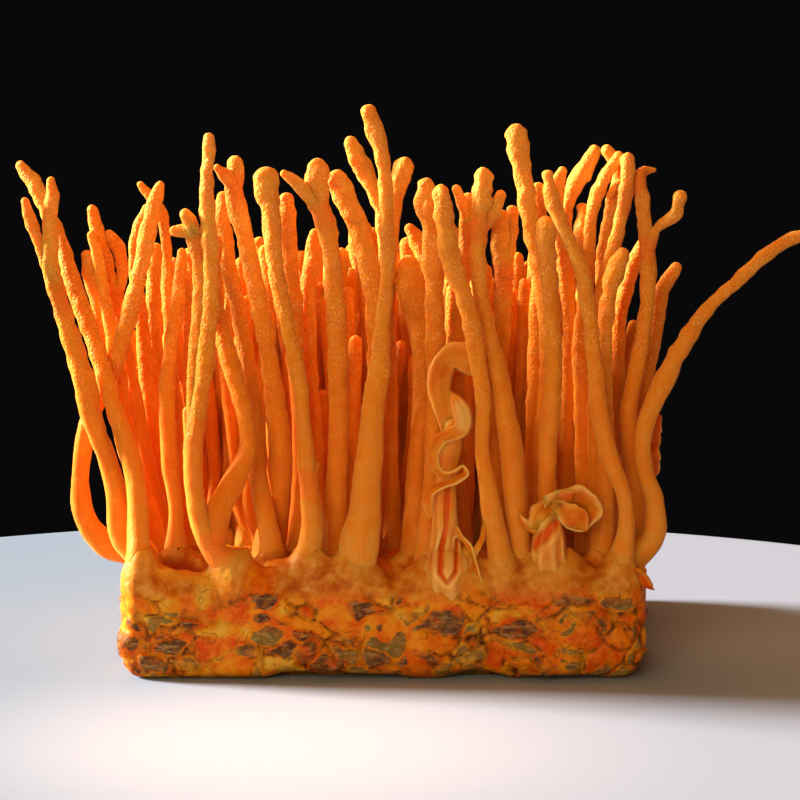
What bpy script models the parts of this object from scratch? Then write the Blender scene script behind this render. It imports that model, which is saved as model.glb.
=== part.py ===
"""Cordyceps bunch: a block of grain grown through with orange mycelium, and the club stems on its top.

Millimetres in the numbers below, metres in the scene. +Z is up, -Y is the front, and the origin is
the centre of the block's flat underside.
"""

import math

import bmesh
import bpy
import numpy as np

MM = 0.001

# Block
BLOCK_WIDTH = 91.0
BLOCK_DEPTH = 74.0
BLOCK_HEIGHT = 18.5
BLOCK_ROUNDING = 4.0
CUTS_ACROSS = 10
CUTS_DEEP = 8
CUTS_HIGH = 2
LUMP_HEIGHT = 0.7

# The stems' rows below are given as they line up on the block's front plane when looked at from
# this eye, and seen_at carries a row back to its own depth along the line of sight.
EYE_X = 2.9
EYE_Z = 103.8
EYE_TO_FRONT = 446.6

# Stems
SIDES_RESOLUTION = 1        # bevel resolution 1 is a six-sided tube
FOOT_CLEARANCE = 0.45       # a stem's cut foot stands this far above the block's skin
STEM_CLEARANCE = 0.5        # the least gap between two stems of different nodes
FOOT_MARGIN = 2.6           # feet stay this far inside the block's sides
TIP_REACH = 0.75            # the tip's last ring, in radii past the last point
TIP_SHRINK = 0.5
SPREAD_ROUNDS = 140
SIDEWAYS_SHARE = 0.3        # stems give way mostly in depth, and this much sideways

COLOURS = {
    "block": (0.62, 0.27, 0.04),
    "stem": (0.88, 0.30, 0.02),
}

# node, (foot's depth, tip's depth) behind the front plane, then x, height and radius from foot to
# tip, with a fourth number where the stem curls out of its plane. A foot's height is the block's.
ROWS = [
    ("loop_stem", (17, 9), [
        (-43.6, 0, 2.4), (-47.2, 24.2, 2.2), (-50.6, 28.2, 1.8), (-51.7, 34, 1.6), (-51.1, 40, 1.5),
        (-49.7, 46, 1.5), (-47.3, 53, 1.5), (-44.9, 59, 1.4), (-40.4, 73, 1.3),
        (-38.9, 79.5, 1.2), (-37.5, 85.3, 0.8),
    ]),
    ("left_forked_stem", (12, 4), [
        (-43.4, 0, 2.2), (-44.6, 25, 2.1), (-45.6, 33, 1.9), (-46.7, 39, 1.7), (-48.6, 45, 1.8),
        (-50.4, 51.5, 1.9), (-54.3, 64, 1.5), (-55.9, 70, 1.4), (-56.3, 77, 1.2),
        (-55.7, 84, 1), (-55.8, 86.2, 0.6),
    ]),
    ("left_forked_stem", (9, 7), [
        (-54.9, 66, 1), (-56.9, 72, 0.9), (-58.4, 76.8, 0.9), (-59.7, 80.5, 0.85), (-60.4, 83, 0.6),
    ]),
    ("left_outer_stem", (4, 20), [
        (-41.8, 0, 2.2), (-41.8, 26, 1.9), (-42.4, 34, 1.8), (-46.2, 50, 1.6),
        (-51, 67, 1.5), (-56.2, 80.5, 1.2), (-58.6, 85.4, 1.2),
        (-60.8, 88.6, 0.9),
    ]),
    ("fan_stem_1", (26, 22), [
        (-37.6, 0, 1.8), (-40.5, 36, 1.5), (-43.4, 52, 1.4), (-45, 64, 1.3), (-46.7, 72, 1.3),
        (-48.2, 78, 1.1), (-49, 81.3, 0.8),
    ]),
    ("fan_stem_1", (26, 26), [
        (-45.3, 66, 1), (-44, 72, 1), (-45, 75.6, 1), (-46.2, 77.3, 0.8),
    ]),
    ("fan_stem_2", (20, 14), [
        (-39.6, 0, 1.8), (-43, 40, 1.4), (-45.4, 56, 1.2), (-46.8, 66, 1), (-48.2, 73.5, 0.9),
        (-49.1, 77, 0.7),
    ]),
    ("fan_stem_3", (32, 16), [
        (-39.4, 0, 1.8), (-43.2, 42, 1.4), (-46.6, 58, 1.2), (-48.3, 66, 1.2), (-49.4, 70.5, 1.2),
        (-50, 73.6, 0.8),
    ]),
    ("fan_stem_4", (30, 30), [
        (-35.6, 0, 1.8), (-38, 36, 1.4), (-40, 52, 1.3), (-41, 64, 1.1), (-41.9, 73, 0.95),
        (-41.4, 77.5, 0.95), (-39.9, 81.6, 0.6),
    ]),
    ("crossed_tip_stem", (24, 16), [
        (-33.8, 0, 1.7), (-35, 40, 1.4), (-35.8, 56, 1.2), (-36.2, 68, 1.1), (-36.7, 76, 1),
        (-37.9, 81.7, 1), (-39.6, 84.1, 0.8), (-40.8, 85.4, 0.6),
    ]),
    ("short_stem_1", (38, 34), [
        (-34, 0, 1.7), (-37.6, 44, 1.4), (-39, 60, 1.3), (-38.8, 69, 1.1), (-38.2, 74.8, 0.8),
    ]),
    ("short_stem_2", (14, 14), [
        (-35.4, 0, 1.9), (-35.4, 28, 1.3), (-36.4, 38, 1.4), (-36.6, 50, 1.3), (-35.6, 60, 1.2),
        (-34.2, 69, 1.1), (-33.9, 74, 0.8),
    ]),
    ("tall_left_stem", (3, -4), [
        (-26, 0, 2.8), (-28.6, 22.5, 2.1), (-31.2, 28, 1.9), (-32.4, 35, 1.7), (-32, 44, 1.75),
        (-30.8, 52, 1.7), (-29.6, 61, 1.5), (-29.2, 70, 1.5), (-29.6, 79, 1.4), (-29.6, 86, 1.3),
        (-29.2, 93.2, 0.9),
    ]),
    ("tall_left_stem", (6, 4), [
        (-32.2, 45, 1.1), (-32.3, 56, 1.1), (-31.4, 66, 1.1), (-31.3, 74, 1.3), (-33, 78.4, 1.2),
        (-35.2, 78.5, 0.9),
    ]),
    ("tall_left_stem", (6, 5), [
        (-31.8, 75, 0.9), (-32.1, 78.6, 1), (-33.4, 81, 0.9),
    ]),
    ("tall_left_stem", (6, 9), [
        (-27.8, 25, 1.6), (-26.2, 32.3, 2.1), (-23.4, 37.5, 1.9), (-21.6, 42, 1.6), (-22.2, 48, 1.6),
        (-24.6, 56, 1.6), (-26.6, 64, 1.5), (-27.2, 72, 1.3), (-26.6, 77, 0.9),
    ]),
    ("leaning_stem_1", (12, 14), [
        (-18.8, 0, 1.9), (-20.6, 36, 1.5), (-21.6, 48, 1.4), (-23.6, 59, 1.4), (-25.4, 69, 1.4),
        (-26.8, 78, 1.3), (-26.9, 83.4, 0.9),
    ]),
    ("lobed_stem", (15, 6), [
        (-19.6, 0, 2.6), (-18.6, 31, 2.2), (-17.9, 42, 2), (-18.9, 52, 1.6), (-20.2, 62, 1.5),
        (-22.2, 71.5, 1.5), (-23.9, 79.5, 1.5), (-24.9, 85, 1.4), (-24.7, 89.2, 1.1),
    ]),
    ("lobed_stem", (8, 4), [
        (-25, 85.5, 0.9), (-26.4, 87.3, 0.9), (-27.9, 88.6, 0.6),
    ]),
    ("broad_tip_stem", (5, 0), [
        (-12.8, 0, 2.3), (-12.1, 27, 1.9), (-12.8, 36, 1.6), (-13.4, 44, 1.3), (-14.4, 54, 1.3),
        (-16.4, 63, 1.35), (-18, 72, 1.4), (-18.9, 80, 1.5), (-19.6, 86.6, 1.8),
    ]),
    ("broad_tip_stem", (5, 5), [
        (-12.6, 35, 0.9), (-11.4, 38, 0.7),
    ]),
    ("inner_stem_1", (19, 12), [
        (-14.4, 0, 1.9), (-14, 40, 1.5), (-14.6, 56, 1.4), (-15.5, 70, 1.4), (-16, 78, 1.4),
        (-16.2, 83, 1.1),
    ]),
    ("antler_stem", (12, 4), [
        (-8.7, 0, 2), (-8, 32, 1.8), (-7.5, 44, 1.6), (-7.8, 57, 1.6), (-8.3, 69, 1.5),
        (-9.2, 77, 1.5), (-10.8, 82.5, 1.7), (-11, 88.2, 1.6),
    ]),
    ("antler_stem", (5, 2), [
        (-10.4, 80.5, 1), (-12.8, 83.8, 1.1), (-14.8, 86, 0.9), (-16.8, 87.3, 0.6),
    ]),
    ("inner_stem_2", (24, 16), [
        (-11.6, 0, 1.8), (-11.4, 40, 1.5), (-12.6, 58, 1.4), (-12.5, 68, 1.4), (-11.6, 74.5, 1.3),
        (-11.3, 77.2, 0.9),
    ]),
    ("stout_stem", (17, 8), [
        (-2.2, 0, 2.2), (-2, 38, 1.8), (-1, 54, 1.6), (-1.6, 66, 1.6), (-3.2, 75, 1.7),
        (-5.6, 81.6, 1.8), (-7.6, 86.2, 1.7),
    ]),
    ("forked_behind_tallest", (20, 14), [
        (1.6, 0, 1.9), (1.2, 40, 1.4), (0.8, 60, 1.4), (0.4, 75, 1.3), (-0.8, 83.2, 1.2),
        (-3.2, 88, 1.5), (-5.3, 92.2, 1.4),
    ]),
    ("forked_behind_tallest", (17, 12), [
        (0.8, 64, 1.2), (1.8, 76, 1.2), (2.4, 83, 1.2), (3.7, 88.6, 1.5),
    ]),
    ("tallest_stem", (4, -5), [
        (-4.7, 0, 3), (-4.2, 23, 3.2), (-3.2, 30, 2.9), (-2.3, 38.5, 2.2), (-1.5, 47, 1.9),
        (-0.5, 56, 1.6), (0.3, 65, 1.25), (0.9, 75, 1.15), (0.5, 84, 1.15), (-0.1, 90.5, 1.25),
        (-1.3, 94.6, 1.45), (-2.5, 97.6, 1.2),
    ]),
    ("dome_stem", (12, 16), [
        (5.4, 0, 2), (5.6, 36, 1.7), (6.8, 52, 1.6), (6.2, 62, 1.9), (4.5, 69.5, 2.2),
        (4.1, 71.6, 1.8),
    ]),
    ("arch_tip_stem", (18, 22), [
        (8.2, 0, 1.8), (8, 44, 1.4), (7.4, 64, 1.3), (6.8, 73.5, 1.3), (5.5, 76.8, 1.2),
        (4.6, 78, 0.9),
    ]),
    ("short_club_stem", (9, 3), [
        (7.6, 0, 1.9), (8.6, 36, 1.5), (9, 54, 1.6), (8.6, 68, 1.6), (8.2, 77, 1.5), (7.2, 83, 1.7),
        (7.4, 85.2, 1.4),
    ]),
    ("front_bowed_stem", (4, -3), [
        (20.9, 0, 2), (19.6, 26, 1.8), (18.2, 33, 1.6), (16.9, 40, 1.2), (17.1, 49, 1.3),
        (15.7, 58, 1.5), (14.3, 65, 1.5), (12, 71.6, 1.6), (10.7, 78.5, 1.6), (9.9, 84, 1.5),
    ]),
    ("paired_tip_stem", (16, 14), [
        (13.4, 0, 1.8), (12.2, 42, 1.4), (12.6, 60, 1.4), (13.6, 72, 1.2), (14, 79, 1.1),
        (14.4, 83.2, 0.9),
    ]),
    ("paired_tip_stem", (15, 12), [
        (13.9, 77, 0.8), (13.6, 82, 0.8), (12.4, 84.8, 0.7),
    ]),
    ("front_broad_stem", (5, 2), [
        (24, 0, 1.9), (23, 27, 1.9), (22.3, 36, 2.1), (21.1, 45, 2), (17.4, 63, 1.5),
        (16.2, 72, 1.4), (16.5, 80, 1.5), (16.8, 86.6, 1.7),
    ]),
    ("front_broad_stem", (4, 5), [
        (17, 78.5, 1), (19, 80.8, 1.1), (20.4, 83.7, 0.9),
    ]),
    ("inner_stem_3", (14, 12), [
        (20, 0, 1.8), (19.4, 42, 1.5), (19.8, 58, 1.5), (20.4, 70, 1.5), (19.9, 77, 1.5),
        (20.1, 80, 1.2),
    ]),
    ("inner_stem_3", (15, 16), [
        (20.4, 70, 1.1), (21.4, 77, 1.1), (21.8, 81.2, 1),
    ]),
    ("high_club_stem", (15, 4), [
        (27.2, 0, 2.1), (27, 40, 1.7), (28, 54, 1.4), (27.4, 65, 1.3), (25.7, 74, 1.3),
        (24.3, 81.4, 1.4), (23.3, 87.4, 1.6), (22.4, 93.8, 1.8),
    ]),
    ("hooked_side_stem", (8, -1), [
        (28.4, 0, 2.1), (28.1, 30, 1.7), (28.2, 42, 1.6), (28.9, 53, 1.5),
        (28, 72, 1.6), (27.6, 78.6, 1.6),
    ]),
    ("inner_stem_4", (22, 14), [
        (25.8, 0, 1.8), (25.6, 44, 1.4), (26.2, 62, 1.3), (26.6, 76, 1.2), (26.2, 84.8, 1),
    ]),
    ("long_bowed_stem", (4, -3), [
        (40.6, 0, 2), (41.5, 26.5, 1.4), (41.1, 32.2, 1.3), (38.9, 38.2, 1.5), (37.2, 45, 1.5),
        (35.1, 62.5, 1.25), (33.8, 70.5, 1.25), (31, 77, 1.15), (28.7, 82.6, 1.2),
        (27.7, 87, 0.9),
    ]),
    ("inner_stem_5", (20, 12), [
        (31.4, 0, 1.8), (31.2, 44, 1.4), (31.6, 62, 1.3), (30.4, 74, 1.1), (29.4, 82, 1),
        (29.6, 86.2, 0.9), (30.2, 87.8, 0.7),
    ]),
    ("leaf_tip_stem", (24, 16), [
        (33.6, 0, 1.9), (33, 44, 1.4), (32, 62, 1.3), (31.2, 74, 1.1), (31.2, 82, 1),
        (32.6, 85.6, 1.4), (34.2, 88.4, 1.4), (35.6, 91.2, 0.9),
    ]),
    ("fork_stem_1", (18, 7), [
        (35, 0, 1.9), (34, 42, 1.5), (33.8, 58, 1.4), (34.6, 71, 1.2), (35.2, 80, 1.2),
        (37, 85.3, 1.1), (39.6, 90.2, 0.9),
    ]),
    ("fork_stem_1", (12, 14), [
        (34.6, 71, 0.9), (33.4, 77, 1.1), (33.6, 81.8, 0.9),
    ]),
    ("pale_tip_stem", (28, 10), [
        (36, 0, 1.8), (37, 48, 1.4), (37.2, 64, 1.3), (37.2, 75, 1.1), (38.5, 83, 1.1),
        (39.8, 88.6, 1.1), (37.7, 91.2, 1),
    ]),
    ("fork_stem_2", (14, 5), [
        (37.4, 0, 1.9), (36.4, 42, 1.5), (36.6, 58, 1.4), (37.8, 71, 1.3), (39.6, 78, 1.2),
        (41, 83.5, 1.2), (41.4, 89.6, 1.2),
    ]),
    ("fork_stem_2", (8, 11), [
        (40.6, 83.5, 0.8), (39.2, 85.8, 0.8), (37.3, 84.2, 0.8),
    ]),
    ("side_forked_stem", (12, 6), [
        (41.6, 0, 2.2), (43.4, 28, 1.7), (42.6, 38, 1.6), (41.8, 46, 1.5), (43.4, 56, 1.4),
        (44.6, 65, 1.3), (44.9, 73, 1.25), (44, 81, 1.2), (42.7, 87, 1),
    ]),
    ("side_forked_stem", (8, 3), [
        (44.9, 75, 1), (46.6, 78.4, 1), (49.3, 80.4, 1), (50.3, 83.4, 1.3),
    ]),
    ("side_forked_stem", (7, 9), [
        (43, 86.6, 0.8), (44.4, 88, 0.7), (45.7, 88.1, 0.45),
    ]),
    ("right_split_stem", (22, 20), [
        (38.6, 0, 1.9), (38.8, 44, 1.4), (39.8, 56, 1.3), (40.2, 64, 1.3), (42.2, 71.6, 1.2),
        (43.6, 75.6, 0.9),
    ]),
    ("right_club_stem", (10, 2), [
        (38.2, 0, 2), (38, 40, 1.5), (37.6, 54, 1.4), (37.9, 64, 1.4), (39.2, 71, 1.5),
        (40.4, 73.6, 1.2),
    ]),
    ("right_tip_stem", (26, 14), [
        (39.6, 0, 1.9), (43, 40, 1.4), (45, 54, 1.2), (46.6, 63, 1.2), (47.4, 68, 1.1),
        (49.5, 71.4, 1),
    ]),
    ("arching_stem", (10, 2), [
        (42.4, 0, 2.4), (45.6, 25, 2), (46.2, 31, 1.7), (44.5, 37, 1.4), (44.6, 44, 1.5),
        (47.8, 52, 1.7), (51.4, 59.2, 1.5), (55.2, 64.9, 1.2), (60.2, 69.6, 1.15), (65.4, 74.1, 1.15),
        (69.2, 76.5, 0.95), (72.6, 77.2, 0.6),
    ]),
    ("curled_stem", (6, 4), [
        (10.6, 0, 4), (10.5, 23, 3), (10.4, 28, 2.3), (10.6, 33, 2), (13, 36.2, 1.4, -1.5),
        (12.6, 39.4, 1.3, 1.8), (9.6, 40.4, 1.4, 0.8), (9.5, 42.8, 1.3, -1.2), (12.2, 44.6, 1.5, -1.5),
        (13.8, 46.6, 1.5, 0), (12.2, 49, 1.5, 0.5), (9.6, 50.8, 1.5, 0), (8.9, 53.8, 1.5, 0),
        (10.4, 56.6, 1.5, 0), (13, 57.2, 1.4, 0.5), (14.6, 55.4, 1, 1.5),
    ]),
    ("ruffled_stem", (5, 1), [
        (28.4, 0, 3.2), (28.2, 23, 2.8), (28.6, 27.4, 1.8), (30.6, 30.4, 1.6), (33.2, 32, 1.6, 0.5),
        (35.8, 31.4, 1.5, 0.5), (36.2, 29, 1.3, -0.5), (34.6, 27.4, 1.1, -1.5),
    ]),
    ("ruffled_stem", (3, 1), [
        (28.8, 28.4, 1.2), (26.4, 28.2, 1.2), (24.6, 27.8, 1), (23.6, 29.3, 0.6),
    ]),
    ("frilled_stem", (18, 12), [
        (38.6, 0, 1.8), (43.4, 30, 1.5), (45.6, 38, 1.7), (46.5, 42, 1.5), (46.9, 45, 0.9),
    ]),
]

# Stems at the back grow in tufts of four from one foot: x, depth, height of the middle stem.
TUFTS = [
    (-31.0, 39.0, 71.0), (-17.0, 33.0, 74.0), (-3.0, 36.0, 76.0), (12.0, 33.0, 75.0), (29.0, 36.0, 73.0),
    (-35.0, 53.0, 68.0), (-20.0, 50.0, 72.0), (-4.0, 51.0, 74.0), (11.0, 49.0, 73.0), (25.0, 51.0, 71.0),
    (-28.0, 65.0, 66.0), (-11.0, 66.0, 70.0), (5.0, 66.0, 71.0), (21.0, 65.0, 68.0), (37.0, 59.0, 67.0),
]
TUFT_SIDES = ((0.0, 5.0), (2.2, 9.0), (4.1, 2.5))   # each side stem's turn and how much lower it ends
TUFT_SPLAY = 5.6            # how far a side stem leans away from the middle one at its tip
TUFT_FAN = 0.13             # outward lean of a tuft for each millimetre it stands off the centre
TUFT_BOW = 1.9              # how far the middle of a tuft's stem bends off the straight line


def block_lumps(x, y, z):
    """Low swells of the grain block: three crossed sines of 15 to 30 mm, in millimetres."""
    swell = np.sin(x / 4.3 + 1.7 * np.sin(y / 6.1)) * np.cos(y / 5.2 + z / 7.0)
    return LUMP_HEIGHT * (swell + 0.6 * np.sin(x / 2.9 - y / 3.7 + z / 2.6) + 0.5 * np.cos(x / 7.7 + y / 9.1))


def block_top(x, y):
    """Height of the block's upper skin at a point."""
    return BLOCK_HEIGHT + block_lumps(x, y, BLOCK_HEIGHT)


def seen_at(x, z, radius, depth):
    """A point read on the front plane, carried back along the line of sight to its depth."""
    scale = (EYE_TO_FRONT + depth) / EYE_TO_FRONT
    return (
        EYE_X + (x - EYE_X) * scale,
        -BLOCK_DEPTH / 2 + depth,
        EYE_Z + (z - EYE_Z) * scale,
        radius * scale,
    )


def stem_from_row(depths, row):
    """Centre line and radii of one stem; its depth runs evenly from the foot's to the tip's."""
    first, last = row[0], row[-1]
    starts_on_block = first[1] == 0
    low = BLOCK_HEIGHT if starts_on_block else first[1]
    points = []
    for entry in row:
        share = (max(entry[1], low) - low) / max(last[1] - low, 1.0)
        curl = entry[3] if len(entry) > 3 else 0.0
        depth = depths[0] + (depths[1] - depths[0]) * min(share, 1.0) + curl
        points.append(seen_at(entry[0], entry[1], entry[2], depth))
    points = np.array(points)
    if starts_on_block:
        points[0, 2] = BLOCK_HEIGHT
    return points, starts_on_block


def tuft_stems(x, depth, height):
    """Four stems from one foot; the side ones leave it low down and end lower than the middle one.

    Each bends off its straight line by TUFT_BOW, and the way it bends changes from tuft to tuft.
    """
    y = depth - BLOCK_DEPTH / 2
    lean = np.array([TUFT_FAN * x, TUFT_FAN * max(y, 0.0)])
    foot = np.array([x, y])
    bend = TUFT_BOW * np.array([math.cos(1.9 * x + depth), math.sin(2.3 * x - depth)])
    stems = [(np.array([
        (*foot, BLOCK_HEIGHT, 2.5),
        (*(foot + 0.4 * lean + bend), 0.5 * height, 1.6),
        (*(foot + lean - 0.6 * bend), height, 1.4),
    ]), True)]
    for turn, drop in TUFT_SIDES:
        away = np.array([math.cos(turn + x), math.sin(turn + x)])
        across = np.array([-away[1], away[0]]) * TUFT_BOW * math.sin(1.3 * x + 2.7 * turn + depth)
        tip = height - drop * (1.0 + 0.6 * math.sin(x + 2.0 * depth + turn))
        stems.append((np.array([
            (*(foot + 0.2 * TUFT_SPLAY * away), 22.0, 1.6),
            (*(foot + 0.8 * TUFT_SPLAY * away + 0.4 * lean + across), 0.5 * tip, 1.5),
            (*(foot + TUFT_SPLAY * away + lean - 0.7 * across), tip, 1.2),
        ]), False))
    return stems


def all_stems():
    """Every stem as node name, points with radius (n by 4), and whether it starts on the block."""
    stems = []
    for name, depths, row in ROWS:
        points, on_block = stem_from_row(depths, row)
        stems.append([name, points, on_block])
    for number, tuft in enumerate(TUFTS, 1):
        for points, on_block in tuft_stems(*tuft):
            stems.append(["back_tuft_%02d" % number, points, on_block])
    return stems


def nearest_on(lines, point):
    """The nearest place to a point on any of several centre lines."""
    best = None
    for line in lines:
        start, step = line[:-1, :3], np.diff(line[:, :3], axis=0)
        along = ((point - start) * step).sum(axis=1) / (step ** 2).sum(axis=1)
        places = start + step * np.clip(along, 0.0, 1.0)[:, None]
        gaps = np.linalg.norm(places - point, axis=1)
        if best is None or gaps.min() < best[0]:
            best = (gaps.min(), places[gaps.argmin()])
    return best[1]


def root_branches(stems, whole):
    """Puts each branch's first point on the stems of its node above it; whole moves all of it."""
    for index, (name, points, on_block) in enumerate(stems):
        if on_block:
            continue
        earlier = [other for other_name, other, _ in stems[:index] if other_name == name]
        shift = nearest_on(earlier, points[0, :3]) - points[0, :3]
        if whole:
            points[:, :3] += shift
        else:
            points[0, :3] += shift


def spread_stems(stems):
    """Moves stems of different nodes apart until they are clear of each other, mostly in depth.

    Each centre line is sampled three times a segment. Two samples nearer than their radii and the
    clearance push each other away, and the push is shared out to the segment's two end points.
    """
    root_branches(stems, whole=True)
    names = sorted({name for name, _, _ in stems})
    rows = []
    owner = []
    start = 0
    for name, points, _ in stems:
        count = len(points)
        for k in range(count - 1):
            for part in (0.0, 1 / 3, 2 / 3):
                rows.append((start + k, start + k + 1, part))
                owner.append(names.index(name))
        rows.append((start + count - 1, start + count - 1, 0.0))
        owner.append(names.index(name))
        start += count
    weights = np.zeros((len(rows), start))
    for index, (a, b, part) in enumerate(rows):
        weights[index, a] += 1 - part
        weights[index, b] += part
    owner = np.array(owner)
    apart = owner[:, None] != owner[None, :]
    places = np.vstack([points for _, points, _ in stems])
    radius = weights @ places[:, 3]
    wanted = radius[:, None] + radius[None, :] + STEM_CLEARANCE
    for _ in range(SPREAD_ROUNDS):
        at = weights @ places[:, :3]
        between = at[:, None, :] - at[None, :, :]
        distance = np.sqrt((between ** 2).sum(axis=2)) + 1e-9
        short = np.where(apart, np.clip(wanted - distance, 0.0, 1.0), 0.0)
        if short.max() < 0.02:
            break
        way = between * np.array([SIDEWAYS_SHARE, 1.0, 0.0])
        way /= np.sqrt((way ** 2).sum(axis=2, keepdims=True)) + 1e-9
        push = (way * (0.55 * short)[:, :, None]).sum(axis=1)
        busy = np.maximum((short > 0).sum(axis=1), 1)[:, None]
        push /= np.sqrt(busy)
        load = weights.T @ push
        share = np.maximum((weights ** 2).sum(axis=0), 1.0)[:, None]
        places[:, :3] += load / share
        start = 0
        for stem in stems:
            count = len(stem[1])
            stem[1] = places[start:start + count]
            if stem[2]:
                limit = np.array([BLOCK_WIDTH, BLOCK_DEPTH]) / 2 - FOOT_MARGIN
                stem[1][0, :2] = np.clip(stem[1][0, :2], -limit, limit)
            start += count
        root_branches(stems, whole=False)
    return stems


def finished_line(points, on_block, rounded):
    """Adds the flat foot on the block and, where it is rounded, the tip to a stem's centre line."""
    line = points.copy()
    if on_block:
        x, y, _, radius = line[0]
        ring = np.linspace(0, 2 * math.pi, 8, endpoint=False)
        under = block_top(x + radius * np.cos(ring), y + radius * np.sin(ring)).max()
        line[0, 2] = max(under, block_top(x, y)) + FOOT_CLEARANCE
        knee = line[0].copy()
        knee[2] += 0.9
        line = np.vstack([line[:1], knee, line[1:]])
    if not rounded:
        return line
    way = line[-1, :3] - line[-2, :3]
    way /= np.linalg.norm(way)
    end = line[-1].copy()
    end[:3] += way * end[3] * TIP_REACH
    end[3] *= TIP_SHRINK
    return np.vstack([line, end])


def new_material(name, colour, roughness):
    material = bpy.data.materials.new(name)
    material.use_nodes = True
    shader = material.node_tree.nodes["Principled BSDF"]
    shader.inputs["Base Color"].default_value = (*colour, 1.0)
    shader.inputs["Roughness"].default_value = roughness
    shader.inputs["Metallic"].default_value = 0.0
    return material


def tube_mesh(name, line):
    """One stem: a six-sided tube along its centre line, thick as each point says, made a mesh."""
    curve = bpy.data.curves.new(name, "CURVE")
    curve.dimensions = "3D"
    curve.bevel_depth = MM
    curve.bevel_resolution = SIDES_RESOLUTION
    curve.use_fill_caps = True
    spline = curve.splines.new("POLY")
    spline.points.add(len(line) - 1)
    for point, (x, y, z, radius) in zip(spline.points, line):
        point.co = (x * MM, y * MM, z * MM, 1.0)
        point.radius = radius
    guide = bpy.data.objects.new(name + "_line", curve)
    bpy.context.scene.collection.objects.link(guide)
    bpy.context.view_layer.update()
    graph = bpy.context.evaluated_depsgraph_get()
    mesh = bpy.data.meshes.new_from_object(guide.evaluated_get(graph))
    mesh.transform(guide.matrix_world)
    bpy.data.objects.remove(guide)
    welder = bmesh.new()
    welder.from_mesh(mesh)
    bmesh.ops.remove_doubles(welder, verts=welder.verts, dist=0.00001)
    bmesh.ops.recalc_face_normals(welder, faces=welder.faces)
    welder.to_mesh(mesh)
    welder.free()
    mesh.name = name
    return mesh


def build_block(parts):
    """The grain block: a box cut into a grid, its edges rounded and its skin swelling in low lumps."""
    half = np.array([BLOCK_WIDTH, BLOCK_DEPTH, BLOCK_HEIGHT]) / 2
    shape = bmesh.new()
    bmesh.ops.create_cube(shape, size=1.0)
    for corner in shape.verts:
        corner.co = [corner.co[axis] * 2 * half[axis] for axis in range(3)]
    for axis, cuts in enumerate((CUTS_ACROSS, CUTS_DEEP, CUTS_HIGH)):
        inner = half[axis] - BLOCK_ROUNDING
        normal = [1.0 if a == axis else 0.0 for a in range(3)]
        places = list(np.linspace(-inner, inner, cuts))
        places += [-half[axis] + BLOCK_ROUNDING * 0.35, half[axis] - BLOCK_ROUNDING * 0.35]
        for place in places:
            geometry = shape.verts[:] + shape.edges[:] + shape.faces[:]
            middle = [place if a == axis else 0.0 for a in range(3)]
            bmesh.ops.bisect_plane(shape, geom=geometry, plane_co=middle, plane_no=normal)
    for corner in shape.verts:
        at = np.array(corner.co)
        core = np.clip(at, -(half - BLOCK_ROUNDING), half - BLOCK_ROUNDING)
        way = at - core
        way /= max(np.linalg.norm(way), 1e-9)
        at = core + way * BLOCK_ROUNDING + np.array([0.0, 0.0, half[2]])
        fade = min(max((at[2] - 0.4) / 2.5, 0.0), 1.0)
        at = at + way * fade * block_lumps(*at)
        corner.co = [float(value) * MM for value in at]
    mesh = bpy.data.meshes.new("grain_block")
    shape.to_mesh(mesh)
    shape.free()
    block = bpy.data.objects.new("grain_block", mesh)
    mesh.shade_smooth()
    mesh.materials.append(new_material("mycelium_on_grain", COLOURS["block"], 0.6))
    parts.objects.link(block)
    return block


def build_stems(parts, cutters):
    """One object for each node; the other stems of a fork or a tuft are joined to its first one."""
    joined = {}
    for name, points, on_block in spread_stems(all_stems()):
        line = finished_line(points, on_block, on_block or not name.startswith("back_tuft"))
        if name not in joined:
            mesh = tube_mesh(name, line)
            stem = bpy.data.objects.new(name, mesh)
            parts.objects.link(stem)
            stem.data.materials.append(new_material(name + "_skin", COLOURS["stem"], 0.45))
            joined[name] = stem
            continue
        branch = bpy.data.objects.new(name + "_branch", tube_mesh(name + "_branch", line))
        branch.hide_render = True
        branch.display_type = "WIRE"
        cutters.objects.link(branch)
        join = joined[name].modifiers.new("join", "BOOLEAN")
        join.operation = "UNION"
        join.solver = "EXACT"
        join.object = branch
    for stem in joined.values():
        stem.data.shade_smooth()
        stem.data.set_sharp_from_angle(angle=math.radians(60))


def main():
    for old in list(bpy.data.objects):
        bpy.data.objects.remove(old)
    parts = bpy.data.collections.new("cordyceps_bunch")
    cutters = bpy.data.collections.new("joining_shapes")
    cutters.hide_render = True
    bpy.context.scene.collection.children.link(parts)
    bpy.context.scene.collection.children.link(cutters)
    build_block(parts)
    build_stems(parts, cutters)


main()
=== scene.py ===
"""Looks of the cordyceps bunch: fleshy stems, curled ribbons and a cake of overgrown grain.

Numbers are millimetres unless a comment says otherwise, and the scene is in metres. +Z is up, -Y
is the front, and the origin is the centre of the block's flat underside. The stems follow the same
rows as the frame's solids, and each piece takes the place of one node of the frame.
"""

import math
from functools import partial

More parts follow.
